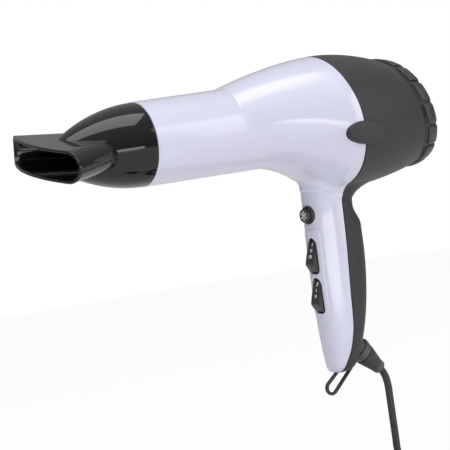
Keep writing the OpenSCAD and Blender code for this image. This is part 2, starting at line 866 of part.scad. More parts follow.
bezel_seat = 2.6;
bezel_out = 1.4;
collar_x = front_x(cool_z) - bezel_seat - 2.2;
spring_r = 3.2;
spring_len = 5.6;
spring_turns = 3;

// stands children on the cool shot button's axis, their z along +X
module on_button(x) {
    translate([x, 0, cool_z]) rotate([0, 90, 0]) children();
}

module cool_shot_bezel() {
    color(dark_colour) on_button(front_x(cool_z) - bezel_seat) union() {
        ring(bezel_r, cool_r + 0.25, bezel_seat + bezel_out);
        translate([0, 0, -0.8]) ring(bezel_r - 1.15, cool_r + 0.25, 1);
    }
}

module cool_shot_button() {
    color(grey_colour) {
        on_button(collar_x) cylinder(r = cool_r, h = bezel_seat + 2.2 + bezel_out + 2.6);
        on_button(collar_x - 0.8) cylinder(r = cool_r + 0.5, h = 1);
        on_button(collar_x - spring_len - 2) cylinder(r = 1.5, h = spring_len + 2);
    }
}

module cool_shot_spring() {
    steps = 14;
    color(steel_colour) on_button(collar_x - 0.8 - spring_len) tube([for (i = [0 : spring_turns * steps])
        [spring_r * cos(360 * i / steps), spring_r * sin(360 * i / steps),
        0.35 + (spring_len - 0.7) * i / spring_turns / steps]], 0.3, 6, [0, 0, 1]);
}

module cool_shot_switch() {
    color(black_colour) difference() {
        on_button(collar_x - 0.8 - spring_len - 8) translate([-5.5, -5, 0]) cube([11, 10, 8]);
        on_button(collar_x - 0.8 - spring_len - 5) cylinder(r = 1.8, h = 6);
    }
}

// ---- wires, clamp and strain relief ----

boot_start = [-5.2, 0, -51.8];
boot_dip = 46;
cord_r = cord_d / 2;
lead_r = cord_r - 0.4;

// stands children where the strain relief leaves the handle, their z along the cord
module on_boot(along) {
    translate(boot_start) rotate([0, 270 - boot_dip, 0])
        translate([0, 0, along]) children();
}

module boot_hole() {
    on_boot(-8) cylinder(r = boot_r - 1.4, h = 20, $fn = 40);
    on_boot(-6.4) cylinder(r = boot_r - 0.6, h = 2.6, $fn = 40);
    on_boot(0.4) cylinder(r = boot_r + 0.3, h = 20, $fn = 40);
}

module strain_relief() {
    ribs = 7;
    rib_start = 8;
    rib_len = (boot_len - rib_start - 4.5) / ribs;
    color(grey_colour) difference() {
        union() {
            on_boot(0.6) rotate_extrude() polygon([[0, 0], [boot_r, 0], [boot_r, 1.5], [boot_r - 0.4, 3.2],
                [boot_r - 1.4, 4.6], [boot_r - 2.2, 5.6], [boot_r - 2.4, rib_start], [0, rib_start]]);
            on_boot(rib_start) cylinder(r1 = boot_r - 2.4, r2 = cord_r + 0.9, h = boot_len - rib_start);
            for (i = [0 : ribs - 1]) {
                on_boot(rib_start + rib_len * (i + 0.42))
                    cylinder(r1 = boot_r - 0.9 - 0.44 * i, r2 = boot_r - 1.1 - 0.44 * i, h = rib_len * 0.58);
            }
            on_boot(boot_len - 4) cylinder(r1 = cord_r + 2.3, r2 = cord_r + 1.9, h = 4);
            on_boot(-5) cylinder(r = boot_r - 1.7, h = 8);
            on_boot(-6) cylinder(r = boot_r - 1, h = 1.8);
        }
        on_boot(-10) cylinder(r = cord_r, h = boot_len + 20);
    }
}

module inner_lead() {
    color(dark_colour) on_boot(-13) cylinder(r = lead_r, h = 14);
}

clamp_half_w = 6.7;
clamp_screw_y = 5.1;

module cord_clamp() {
    color(grey_colour) on_boot(-11) difference() {
        translate([-7, -clamp_half_w, 0]) cube([5 + lead_r + 3, 2 * clamp_half_w, 4]);
        translate([0, 0, -1]) cylinder(r = lead_r + 0.1, h = 6);
        for (s = [-1, 1]) {
            translate([-8, s * clamp_screw_y, 2]) rotate([0, 90, 0]) cylinder(r = 1.1, h = 20);
        }
    }
}

module clamp_screws() {
    color(steel_colour) on_boot(-9) for (s = [-1, 1]) {
        translate([-7.2, s * clamp_screw_y, 0]) rotate([0, 90, 0]) cylinder(r = 1.05, h = 8);
        translate([-8.2, s * clamp_screw_y, 0]) rotate([0, 90, 0]) cylinder(r = 1.9, h = 1);
    }
}

wire_sheath_r = 1.1;

module switch_wires() {
    color("firebrick") for (s = [-1, 1]) {
        tube(smooth([[2, 2.4 * s, -40], [-4, 6.4 * s, -30], [-7, 6.4 * s, -15], [-7, 6.4 * s, 10], [-7, 6 * s, 30],
            [-5, 4 * s, 38]], 2), wire_sheath_r, 8, [0, 1, 0]);
    }
}

module motor_wires() {
    color("royalblue") for (s = [-1, 1]) {
        tube(smooth([[-5, 3.4 * s, -39], [-8.8, 3.4 * s, -24], [-11.4, 2.6 * s, 0], [-11.4, 2.6 * s, 25],
            [-8, 3.2 * s, 42], [1, 5 * s, 56], [3, 6 * s, 67]], 2), wire_sheath_r, 8, [0, 1, 0]);
    }
}

loop_strand = 2.2;
loop_thick = 3.4;

// flat rubber loop that hangs under the handle's tip
module hang_loop() {
    tip_r = 5.2;
    root = [4.6, -61];
    tip = [20.4, -73];
    color(dark_colour) rotate([90, 0, 0]) translate([0, 0, -loop_thick / 2]) linear_extrude(loop_thick)
    difference() {
        union() {
            hull() {
                translate(tip) circle(r = tip_r);
                translate(root) circle(r = tip_r - 0.8);
            }
        }
        hull() {
            translate(tip) circle(r = tip_r - loop_strand);
            translate(root) circle(r = tip_r - 0.8 - loop_strand);
        }
        offset(delta = 0.15) handle_outline(0);
    }
}

// ---- cord ----

floor_z = -158;
cord_exit = boot_start + (boot_len - 1) * [-cos(boot_dip), 0, -sin(boot_dip)];
coil_mid = [8, 34];
cord_route = [cord_exit, [-23.6, 0, -71.4], [-25.4, 0, -75], [-26.5, 0, -79], [-27, 0, -84], [-27, 0, -90],
    [-27, 0, -98], [-27, 0, -108], [-27, 0, -118], [-27, 0, -127.5], [-27, 2, -138], [-27, 8, -147.2],
    [-27, 17, -153.4], [-27, 28, -155.5]];
tail_route = [[10, 69, -145.5], [22, 69, -145.7], [33, 69, -146.3], [44, 69, -146.8], [52, 69, -147],
    [57, 69, -147]];

module cord() {
    color(dark_colour) tube(smooth(cord_route, 2), cord_r, 8, [1, 0, 0.01]);
}

module cord_coil() {
    half = coil_columns * cord_d / 2;
    color(dark_colour) translate([coil_mid[0], coil_mid[1], floor_z]) rotate_extrude()
        translate([coil_r - half, 0]) square([2 * half, coil_layers * cord_d]);
}

module cord_tie() {
    half = coil_columns * cord_d / 2 + 0.9;
    high = coil_layers * cord_d + 0.4;
    color(black_colour) translate([coil_mid[0] + coil_r, coil_mid[1], floor_z]) rotate([90, 0, 0])
        translate([0, 0, -5]) difference() {
            translate([-half - 1, 0.1, 0]) cube([2 * half + 2, high + 1, 10]);
            translate([-half, -1, -1]) cube([2 * half, high + 1, 12]);
        }
}

plug_at = [56, 69, floor_z + 11];

// stands children where the cord enters the plug, their z along +X
module on_plug(along) {
    translate(plug_at + [along, 0, 0]) rotate([0, 90, 0]) children();
}

module cord_tail() {
    color(dark_colour) tube(smooth(tail_route, 2), cord_r, 8, [0, 1, 0.01]);
}

module plug_body() {
    color(dark_colour) union() {
        hull() {
            on_plug(26) cylinder(r = 8, h = tiny, $fn = 32);
            on_plug(34) for (s = [-1, 1]) {
                translate([0, s * 8, 0]) cylinder(r = 10, h = 4, $fn = 32);
            }
        }
        hull() {
            on_plug(37) for (s = [-1, 1]) {
                translate([0, s * 8, 0]) cylinder(r = 10, h = 20, $fn = 32);
            }
        }
        on_plug(0) cylinder(r1 = cord_r + 1.2, r2 = cord_r + 3, h = 27);
    }
}

module plug_pins() {
    root_r = pin_r - 0.4;
    color(steel_colour) on_plug(55) for (s = [-1, 1]) {
        translate([0, s * pin_pitch / 2, 0]) cylinder(r = root_r, h = 3);
        translate([0, s * pin_pitch / 2, 2]) cylinder(r = pin_r, h = pin_len);
    }
}

front_cover();
rear_cover();
mouth_ring();
oval_cap_left();
oval_cap_right();
cover_screws();
nozzle();
nozzle_clip();
outlet_grille();
mica_tube();
heater_cross();
heater_wire();
thermostat();
thermal_fuse();
fan_duct();
motor_can();
motor_end();
motor_magnets();
motor_rotor();
motor_shaft();
motor_bushes();
rectifier_board();
fan();
inlet_ring();
filter_frame();
filter_mesh();
rear_cap();
switch_panel();
heat_rocker();
speed_rocker();
heat_switch();
speed_switch();
cool_shot_button();
cool_shot_bezel();
cool_shot_spring();
cool_shot_switch();
switch_wires();
motor_wires();
inner_lead();
cord_clamp();
clamp_screws();
strain_relief();
hang_loop();
cord();
cord_coil();
cord_tie();
cord_tail();
plug_body();
plug_pins();
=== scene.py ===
import json
import math

import bmesh
import bpy
import numpy as np
from mathutils import Matrix, Vector
from mathutils.geometry import delaunay_2d_cdt

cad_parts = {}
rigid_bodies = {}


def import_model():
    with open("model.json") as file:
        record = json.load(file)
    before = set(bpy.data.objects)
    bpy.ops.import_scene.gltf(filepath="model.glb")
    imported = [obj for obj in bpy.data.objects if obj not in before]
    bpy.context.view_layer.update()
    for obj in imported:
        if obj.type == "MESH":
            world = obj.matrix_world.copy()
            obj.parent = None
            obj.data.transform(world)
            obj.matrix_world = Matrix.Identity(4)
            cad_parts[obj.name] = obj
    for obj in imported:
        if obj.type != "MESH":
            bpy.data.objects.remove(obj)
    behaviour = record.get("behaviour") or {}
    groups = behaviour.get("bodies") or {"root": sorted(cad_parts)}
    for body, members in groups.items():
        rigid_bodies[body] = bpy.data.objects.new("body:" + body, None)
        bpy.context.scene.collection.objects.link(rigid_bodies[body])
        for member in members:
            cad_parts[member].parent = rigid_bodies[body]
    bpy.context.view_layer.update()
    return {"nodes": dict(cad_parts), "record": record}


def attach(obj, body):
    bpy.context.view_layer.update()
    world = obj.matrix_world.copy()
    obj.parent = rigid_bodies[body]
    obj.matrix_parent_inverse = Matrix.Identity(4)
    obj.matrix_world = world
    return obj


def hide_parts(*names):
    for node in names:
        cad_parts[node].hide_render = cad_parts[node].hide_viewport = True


for old in list(bpy.data.objects):
    bpy.data.objects.remove(old)
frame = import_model()
MM = 0.001

# ---- sizes shared with the part's source, in millimetres ----

BARREL_R, BARREL_FLARE, MOUTH, AXIS, TAIL_X = 26.0, 1.6, 139.0, 105.0, 58.0
WALL = 2.2
GAP = 0.25  # from the seam to the edge of each cover
HOOD_R, HOOD_FRONT, HOOD_REAR, HOOD_DROP, HOOD_BACK = 45.2, 78.0, 106.0, 4.6, 3.0
TILT = math.radians(13.7)  # lean of the body's tail
NECK_Z, FRONT_AHEAD, BACK_BEHIND, HANDLE_HALF_W = 47.0, 20.8, 19.2, 14
GRIP_MID, GRIP_PITCH, GRIP_R, GRIP_DEPTH, GRIPS = 22.0, 6.1, 1.3, 0.6, 9
HOOD_END = HOOD_FRONT - HOOD_BACK
HOOD_END_HALF = BARREL_R + BARREL_FLARE * (1 - HOOD_END / MOUTH) + 0.5 + HOOD_DROP
# (x, z) along the seam between the covers, from the top down
SEAM = [(5, 155), (3, 140), (1, 124), (-1.5, 108), (-3.8, 84), (-5.2, 70), (-5.2, 64), (-4, 59), (-1.2, 55),
        (0.2, 50), (0.4, 40), (1.4, 18), (4, -14), (5.2, -36), (8, -49), (13, -59.5), (19, -70)]
SCREW_SEATS = ((54, 1.4), (-34, 1.0))  # height and depth of each cover screw's seat
SCREW_SEAT_R, BUTTON_HOLE_R = 2.9, 5.4
PANEL_TOP, PANEL_LOW, PANEL_HALF, PANEL_CORNER, PANEL_WALL = 33.0, -30.0, 8.0, 4, 1.8
HEAT_Z, SPEED_Z, COOL_Z = 15.4, -11.0, 42.6
ROCKER_LEN, ROCKER_W, ROCKER_CORNER, PIVOT, NOSE, WINDOW_GAP = 22.8, 9.0, 2.2, 5.6, 3.2, 0.5
OVAL_LONG, OVAL_HIGH, OVAL_LEAN, OVAL_OUT = 15, 7.5, math.radians(7), 45.6
NOZZLE_X, NOZZLE_LEN, SLOT_W, SLOT_H, NOZZLE_WALL = 139.3, 71.0, 85.0, 19.0, 1.8
LIP_R, DOME_LEN, SPOUT_ROOT, SPOUT_ROOT_W, SLEEVE_R, SLEEVE_LEN = 95.3, 62.0, 12.0, 28.0, 22.35, 12.0
NOZZLE_TURN = math.radians(-12)
SOCKET_R = BARREL_R - WALL - 1.2
TAIL_R = HOOD_R * math.sqrt(1 - ((HOOD_BACK - TAIL_X) / HOOD_REAR) ** 2)
CAP_GRIPS = 15
FLOOR = -158.0
CORD_D = 5.0
BOOT = Vector((-5.2, 0, -51.8))
BOOT_DIP = math.radians(46)
BOOT_LEN = 24.0
BOOT_OUT = Vector((-math.cos(BOOT_DIP), 0, -math.sin(BOOT_DIP)))
BODY_OF = {n: b for b, ns in frame["record"]["behaviour"]["bodies"].items() for n in ns}


def circle(count):
    """angles evenly spaced round a circle"""
    return [2 * math.pi * i / count for i in range(count)]


def new_object(name, data):
    obj = bpy.data.objects.new(name, data)
    bpy.context.scene.collection.objects.link(obj)
    return obj


# ---- camera ----

CAMERA_ANGLES = (56.9986, 3.9344, -8.63)  # azimuth, elevation and roll, in degrees
CAMERA_AT = (0.53760, 0.69737, 0.10405)
CAMERA_LENS, CAMERA_SENSOR = 105.855, 36


def place_camera():
    az, el, roll = (math.radians(v) for v in CAMERA_ANGLES)
    back = Vector((math.cos(el) * math.cos(az), math.cos(el) * math.sin(az), math.sin(el)))
    level = Vector((0, 0, 1)).cross(back).normalized()
    above = back.cross(level)
    right = level * math.cos(roll) + above * math.sin(roll)
    up = above * math.cos(roll) - level * math.sin(roll)
    data = bpy.data.cameras.new("camera")
    data.sensor_width = CAMERA_SENSOR
    data.lens = CAMERA_LENS
    data.clip_start = 0.02
    obj = new_object("camera", data)
    obj.matrix_world = Matrix([(right[i], up[i], back[i], CAMERA_AT[i]) for i in range(3)] + [(0, 0, 0, 1)])
    bpy.context.scene.camera = obj


place_camera()
bpy.context.scene.view_settings.view_transform = "Standard"


# ---- materials ----

BUMP_DEPTH = 0.0004  # metres


def node(tree, kind, **inputs):
    """a new shader node, its inputs set by name"""
    made = tree.nodes.new("ShaderNode" + kind)
    set_inputs(made, **inputs)
    return made


def set_inputs(shader, **inputs):
    for name, value in inputs.items():
        shader.inputs[name.replace("_", " ")].default_value = value


def two_tone(tree, low, high, start=0.0, stop=1.0):
    """a ramp from one colour to another"""
    ramp = node(tree, "ValToRGB")
    for element, at, colour in zip(ramp.color_ramp.elements, (start, stop), (low, high)):
        element.position = at
        element.color = (*colour, 1)
    return ramp


def blended(tree, share, first, second, output):
    """joins two shaders by a share and puts the result on the tree's output"""
    mix = node(tree, "MixShader")
    tree.links.new(share, mix.inputs["Fac"])
    tree.links.new(first.outputs[0], mix.inputs[1])
    tree.links.new(second.outputs[0], mix.inputs[2])
    tree.links.new(mix.outputs[0], tree.nodes[output].inputs["Surface"])


def shade(name, colour, rough=0.4, spread=0.06, grain=0.03, scale=900, vary=0.05, coat=0.0, coat_rough=0.15,
          metal=0.0, spec=0.5, dark=None, patch=30, streak=None, sheen=0.0):
    """plastic, rubber or metal whose colour, gloss and surface vary a little, as moulded parts do"""
    mat = bpy.data.materials.new(name)
    mat.use_nodes = True
    tree = mat.node_tree
    link = tree.links.new
    bsdf = tree.nodes["Principled BSDF"]
    set_inputs(bsdf, Metallic=metal, Specular_IOR_Level=spec, Coat_Weight=coat, Coat_Roughness=coat_rough,
               Sheen_Weight=sheen)
    place = node(tree, "TexCoord")
    wide = node(tree, "TexNoise", Scale=patch, Detail=4)
    link(place.outputs["Object"], wide.inputs["Vector"])
    ramp = two_tone(tree, dark or [v * (1 - vary) for v in colour], colour, 0.3, 0.7)
    link(wide.outputs["Fac"], ramp.inputs["Fac"])
    link(ramp.outputs["Color"], bsdf.inputs["Base Color"])
    fine = node(tree, "TexNoise", Scale=scale, Detail=3)
    grain_from = place.outputs["Object"]
    if streak:
        stretch = node(tree, "Mapping", Scale=streak)
        link(grain_from, stretch.inputs["Vector"])
        grain_from = stretch.outputs["Vector"]
    link(grain_from, fine.inputs["Vector"])
    gloss = node(tree, "MapRange", To_Min=rough - spread, To_Max=rough + spread)
    link(wide.outputs["Fac"], gloss.inputs["Value"])
    link(gloss.outputs["Result"], bsdf.inputs["Roughness"])
    bump = node(tree, "Bump", Strength=grain, Distance=BUMP_DEPTH)
    link(fine.outputs["Fac"], bump.inputs["Height"])
    link(bump.outputs["Normal"], bsdf.inputs["Normal"])
    return mat


SLOT_LOOK = {
    "shell_pearl": shade("pearl_plastic", (0.58, 0.58, 0.71), 0.26, 0.03, 0.008, 2600, 0.03, coat=0.6,
                         coat_rough=0.08, patch=14),
    "shell_dark": shade("soft_touch_grey", (0.026, 0.0258, 0.0275), 0.5, 0.05, 0.05, 2200, 0.12, patch=22, sheen=0.04,
                        spec=0.4),
    "nozzle_black": shade("gloss_black", (0.006, 0.006, 0.0065), 0.07, 0.02, 0.003, 700, 0.2, patch=18, coat=0.1,
                          coat_rough=0.03, spec=0.38),
    "control_grey": shade("control_grey", (0.028, 0.028, 0.030), 0.38, 0.05, 0.04, 2400, 0.1, patch=60),
    "inner_black": shade("inner_black", (0.012, 0.012, 0.013), 0.5, 0.06, 0.05, 1200, 0.2),
    "duct_plastic": shade("duct_plastic", (0.17, 0.17, 0.165), 0.5, 0.06, 0.04, 900, 0.1),
    "mica": shade("mica_sheet", (0.50, 0.38, 0.20), 0.45, 0.1, 0.12, 260, 0.3, patch=60, dark=(0.34, 0.24, 0.12)),
    "steel": shade("plated_steel", (0.55, 0.56, 0.58), 0.32, 0.06, 0.05, 400, 0.08, metal=1.0, streak=(1, 1, 12)),
    "heating_wire": shade("heating_wire", (0.30, 0.27, 0.24), 0.42, 0.08, 0.05, 900, 0.3, metal=1.0,
                          dark=(0.16, 0.13, 0.12)),
    "fuse_glass": shade("fuse_shell", (0.60, 0.60, 0.62), 0.28, 0.05, 0.03, 500, 0.1, metal=1.0),
    "magnet": shade("ferrite", (0.035, 0.035, 0.038), 0.6, 0.08, 0.15, 700, 0.2),
    "winding": shade("enamelled_copper", (0.45, 0.17, 0.06), 0.3, 0.06, 0.1, 500, 0.2, metal=0.9, streak=(20, 1, 1)),
    "board": shade("board_green", (0.010, 0.09, 0.025), 0.35, 0.05, 0.05, 800, 0.2),
    "wire_red": shade("wire_red", (0.33, 0.012, 0.010), 0.4, 0.05, 0.04, 900, 0.1),
    "wire_blue": shade("wire_blue", (0.012, 0.035, 0.24), 0.4, 0.05, 0.04, 900, 0.1),
    "cord_rubber": shade("cord_rubber", (0.026, 0.026, 0.028), 0.5, 0.06, 0.10, 1500, 0.15, patch=80),
    "relief_rubber": shade("relief_rubber", (0.080, 0.080, 0.080), 0.46, 0.06, 0.08, 1600, 0.15, patch=60),
    "plug_plastic": shade("plug_rubber", (0.020, 0.020, 0.022), 0.42, 0.06, 0.08, 1300, 0.15, patch=50),
    "pin_brass": shade("pin_brass", (0.70, 0.58, 0.34), 0.26, 0.05, 0.04, 500, 0.1, metal=1.0, streak=(1, 14, 14)),
}
CAP_GREY = shade("cap_grey", (0.032, 0.0317, 0.034), 0.40, 0.04, 0.03, 1800, 0.1, patch=26)
MARK = shade("print_white", (0.72, 0.72, 0.71), 0.5, 0.05, 0.02, 900, 0.06, patch=400)
SLOT_OF = {s["node"]: s["material_slot"] for s in frame["record"]["subparts"]}


# ---- mesh helpers ----

def dress(obj, material, body, replaces=()):
    obj.data.materials.clear()
    obj.data.materials.append(material)
    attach(obj, body)
    if replaces:
        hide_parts(*replaces)
    return obj


WELD, CAD_WELD = 2e-6, 1e-5  # metres within which points of a piece made here, or of a CAD mesh, are joined


def clean(mesh, weld, dissolve=False):
    """joins near points, merges flat neighbours if asked, and turns the normals outward"""
    bm = bmesh.new()
    bm.from_mesh(mesh)
    bmesh.ops.remove_doubles(bm, verts=bm.verts, dist=weld)
    if dissolve:
        bmesh.ops.dissolve_limit(bm, angle_limit=math.radians(1), verts=bm.verts, edges=bm.edges)
    bmesh.ops.recalc_face_normals(bm, faces=bm.faces)
    bm.to_mesh(mesh)
    bm.free()


def raw(name, verts, faces):
    """a mesh object from points in millimetres"""
    mesh = bpy.data.meshes.new(name)
    mesh.from_pydata([tuple(c * MM for c in v) for v in verts], [], faces)
    clean(mesh, WELD)
    return new_object(name, mesh)


def discard(obj):
    """deletes a scratch object and its mesh"""
    mesh = obj.data
    bpy.data.objects.remove(obj)
    bpy.data.meshes.remove(mesh)


def grid_faces(n, m, close, wrap=False):
    """faces of n rows of m points; close joins each row's last point to its first, wrap the last row to the first"""
    return [(i * m + j, i * m + (j + 1) % m, (i + 1) % n * m + (j + 1) % m, (i + 1) % n * m + j)
            for i in range(n if wrap else n - 1) for j in range(m if close else m - 1)]


def loft(name, rows, close=True, ends=(False, False)):
    """a skin over rows of points; ends says which end rows are closed with a face"""
    n, m = len(rows), len(rows[0])
    faces = grid_faces(n, m, close)
    if ends[0]:
        faces.append(tuple(range(m))[::-1])
    if ends[1]:
        faces.append(tuple((n - 1) * m + i for i in range(m)))
    return raw(name, [p for r in rows for p in r], faces)


def solid(name, rows):
    """a closed body over rows of points"""
    return loft(name, rows, ends=(True, True))


def lathe(name, profile, place, steps, closed=True):
    """turns a profile of (radius, along) round an axis; place puts a local point (along, across, up) in the frame"""
    rows = [[place(x, r * math.cos(a), r * math.sin(a)) for r, x in profile] for a in circle(steps)]
    return raw(name, [p for r in rows for p in r], grid_faces(steps, len(profile), closed, wrap=True))


def modify(obj, kind, **values):
    """applies a modifier to a mesh object, which it returns"""
    mod = obj.modifiers.new(kind.lower(), kind)
    for k, v in values.items():
        setattr(mod, k, v)
    graph = bpy.context.evaluated_depsgraph_get()
    old = obj.data
    obj.data = bpy.data.meshes.new_from_object(obj.evaluated_get(graph), depsgraph=graph)
    obj.modifiers.clear()
    bpy.data.meshes.remove(old)
    return obj


def face_out(obj, centre):
    """turns an open skin's faces so that they look away from a centre, given for each height"""
    lean = sum(p.normal.dot(p.center - Vector(centre(p.center))) * p.area for p in obj.data.polygons)
    if lean < 0:
        obj.data.flip_normals()
    return obj


def thicken(obj, centre, thickness=WALL):
    """gives an open skin a wall on its inner side"""
    return modify(face_out(obj, centre), "SOLIDIFY", thickness=thickness * MM, offset=-1.0)


def bevel(obj, width, segments, angle):
    """rounds the edges at which the surface turns by more than an angle in degrees"""
    return modify(obj, "BEVEL", width=width * MM, segments=segments, limit_method="ANGLE",
                  angle_limit=math.radians(angle))


def cut(obj, tool, operation="DIFFERENCE"):
    """applies a boolean with a scratch mesh, which is deleted"""
    modify(obj, "BOOLEAN", operation=operation, object=tool, solver="EXACT")
    discard(tool)


def by_angle(obj, degrees):
    """smooth shading that keeps an edge where the surface turns by more than an angle in degrees"""
    mesh = obj.data
    mesh.polygons.foreach_set("use_smooth", [True] * len(mesh.polygons))
    bm = bmesh.new()
    bm.from_mesh(mesh)
    limit = math.radians(degrees)
    for e in bm.edges:
        e.smooth = len(e.link_faces) == 2 and e.calc_face_angle(0) < limit
    bm.to_mesh(mesh)
    bm.free()
    return obj


def finish(obj, degrees, slot, *nodes, body="root", look=None):
    """smooths and dresses a piece, and puts it in place of its CAD nodes"""
    return dress(by_angle(obj, degrees), look or SLOT_LOOK[slot], body, nodes)


def soften(node, width, look=None, angle=30, segments=2):
    """a copy of a CAD node with its edges rounded, which replaces it"""
    obj = new_object(node + "_finished", frame["nodes"][node].data.copy())
    clean(obj.data, CAD_WELD, dissolve=True)
    return finish(bevel(obj, width, segments, angle), 40, SLOT_OF[node], node, body=BODY_OF[node], look=look)


# ---- the cord, its coil, tie and plug ----

CORD_EXIT = BOOT + BOOT_OUT * (BOOT_LEN - 1)
# what the lead runs through from the strain relief to the coil, and from the coil to the plug
ROUTE = [tuple(CORD_EXIT), (-23.6, 0, -71.4), (-25.4, 0, -75), (-26.5, 0, -79),
         *((-27, 0, z) for z in (-84, -90, -98, -108, -118, -127.5)),
         (-27, 2, -138), (-27, 8, -147.2), (-27, 17, -153.4), (-27, 28, -155.5)]
TAIL = [(10, 69, -145.5), (22, 69, -145.7), (33, 69, -146.3), (44, 69, -146.8), (52, 69, -147), (57, 69, -147)]
COIL_MID, COIL_WIDE, COIL_NARROW = (8.0, 34.0), 35, 20
COIL_TURNS, COIL_STEPS = 9.25, 36
COIL_LAYERS = (0, 4, 8)  # turn at which each layer starts
CROSS_TURNS, CLIMB_TURNS = 3.5, 0.35  # turns taken to cross a layer, and to climb onto the next
CORD_STEP = 1.0  # least distance between two points of the lead


def smooth_line(points, steps):
    """a curve through points"""
    out = []
    p = [Vector(v) for v in points]
    for i in range(len(p) - 1):
        a, b, c, d = p[max(i - 1, 0)], p[i], p[i + 1], p[min(i + 2, len(p) - 1)]
        for k in range(steps):
            t = k / steps
            out.append(0.5 * ((2 * b) + (c - a) * t + (2 * a - 5 * b + 4 * c - d) * t * t
                              + (3 * b - a - 3 * c + d) * t ** 3))
    return out + [p[-1]]


def coil_line():
    """four turns in, four turns out on top of them, then one and a quarter more round the outside"""
    out = []
    low = FLOOR + CORD_D / 2
    span = COIL_WIDE - COIL_NARROW
    for i in range(int(COIL_STEPS * COIL_TURNS) + 1):
        t = i / COIL_STEPS
        layer = sum(t >= first for first in COIL_LAYERS[1:])
        within = t - COIL_LAYERS[layer]
        share = min(1, within / CROSS_TURNS)
        r = (COIL_WIDE - span * share, COIL_NARROW + span * share, COIL_WIDE)[layer]
        lift = layer - 1 + min(1, within / CLIMB_TURNS) if layer else 0
        a = math.pi - 2 * math.pi * t
        out.append(Vector((COIL_MID[0] + r * math.cos(a), COIL_MID[1] + r * math.sin(a), low + CORD_D * lift)))
    return out


def make_cord():
    """the whole lead as one round curve, and its length in metres"""
    line = smooth_line(ROUTE, 4) + coil_line() + smooth_line(TAIL, 4)
    kept = [line[0]]
    for p in line[1:]:
        if (p - kept[-1]).length > CORD_STEP:
            kept.append(p)
    length = sum((b - a).length for a, b in zip(kept, kept[1:])) * MM
    data = bpy.data.curves.new("power_cord", "CURVE")
    data.dimensions = "3D"
    data.bevel_depth = CORD_D / 2 * MM
    data.bevel_resolution = 5
    data.use_fill_caps = True
    spline = data.splines.new("POLY")
    spline.points.add(len(kept) - 1)
    for q, p in zip(spline.points, kept):
        q.co = (p.x * MM, p.y * MM, p.z * MM, 1)
    spline.use_smooth = True
    obj = new_object("power_cord", data)
    dress(obj, SLOT_LOOK["cord_rubber"], "root", ["cord", "cord_coil", "cord_tail"])
    return obj, length


tie = soften("cord_tie", 0.35, angle=40)
plug = soften("plug_body", 0.7, angle=32, segments=3)
pins = soften("plug_pins", 0.5)
cord, cord_len = make_cord()


# ---- outer form of the body ----

HOOD_CURVE = 1.65
UNDER_FROM, UNDER_LEN = 5, 70  # where the hood's underside starts to rise to the barrel's, and over what length
HOOD_SOFT = 0.9  # softness of the corner between hood and barrel
NECK_LOW = 46.0  # height at which the handle starts to follow the hood's underside
EDGE_TURN = 0.4  # how far a cover's edge is turned in
BODY_COLUMNS = 176
SEAM_Z = [p[1] for p in SEAM][::-1]
SEAM_X = [p[0] for p in SEAM][::-1]


def hood_ring(u):
    """centre above the barrel's axis, and radius, of the hood's ring at u"""
    d = u + HOOD_BACK
    if d < 0:
        half = HOOD_R * math.sqrt(max(0.0, 1 - (d / HOOD_REAR) ** 2))
    else:
        half = HOOD_R - (HOOD_R - HOOD_END_HALF) * (min(d, HOOD_FRONT) / HOOD_FRONT) ** HOOD_CURVE
    k = 1 - (1 - min(1.0, max(0.0, (u - UNDER_FROM) / UNDER_LEN))) ** 2
    top = half - HOOD_DROP
    low = (1 - k) * (-HOOD_DROP - half) + k * (1 - BARREL_R)
    return (top + low) / 2, (top - low) / 2


def soft_max(a, b, soft):
    """the larger of two values, the corner between them rounded"""
    return max(a, b) + max(0.0, soft - abs(a - b)) ** 2 / (4 * soft)


def body_point(u, a):
    """a point of the hood and barrel: ring u, angle a round the barrel's axis from its top"""
    off, r = hood_ring(u)
    hood = off * math.cos(a) + math.sqrt(max(0.0, r * r - (off * math.sin(a)) ** 2))
    if u > 0:
        barrel = BARREL_R + BARREL_FLARE * (1 - u / MOUTH)
        reach = barrel if u > HOOD_END else soft_max(hood, barrel, HOOD_SOFT)
        return Vector((u, reach * math.sin(a), AXIS + reach * math.cos(a)))
    lean = TILT * (-u / TAIL_X)
    h = hood * math.cos(a) - off
    return Vector((u + h * math.sin(lean), hood * math.sin(a), AXIS + off + h * math.cos(lean)))


def under_hood(x, y):
    """height of the hood's underside above a point"""
    u = x
    for _ in range(4):
        off, r = hood_ring(u)
        lean = TILT * max(0.0, -u / TAIL_X)
        u = x + r * math.sin(lean)
    return AXIS + off - math.sqrt(max(1.0, r * r - y * y)) * math.cos(lean)


def seam_x(z):
    """x of the seam between the covers at a height, without corners"""
    return sum(float(np.interp(z + d, SEAM_Z, SEAM_X)) for d in (-4, -2, 0, 2, 4)) / 5


def seam_ring(a, side):
    """ring at which the line of angle a meets the seam"""
    lo, hi = -16.0, 16.0
    for _ in range(30):
        mid = (lo + hi) / 2
        p = body_point(mid, a)
        lo, hi = (mid, hi) if p.x < seam_x(p.z) + side * GAP else (lo, mid)
    return (lo + hi) / 2


def inward(p, a):
    """a body point moved in a little towards the barrel's axis"""
    return p + Vector((0, -math.sin(a), -math.cos(a))) * EDGE_TURN


def body_skin(name, side):
    """the hood and barrel ahead of the seam, or the hood behind it, both ends turned in a little"""
    columns = []
    for a in circle(BODY_COLUMNS):
        s = seam_ring(a, side)
        if side > 0:
            us = [s, s + 0.5, *np.linspace(s + 1.2, HOOD_END, 44), HOOD_END + 0.45]
            us += [*np.linspace(HOOD_END + 2, MOUTH - 0.5, 26), MOUTH - 0.1]
        else:
            us = [s, s - 0.5, *np.linspace(s - 1.2, -TAIL_X + 0.8, 34), -TAIL_X + 0.15]
        column = [body_point(u, a) for u in us]
        column[0], column[-1] = inward(column[0], a), inward(column[-1], a)
        columns.append(column)
    return loft(name, list(zip(*columns)))


# ---- outer form of the handle ----

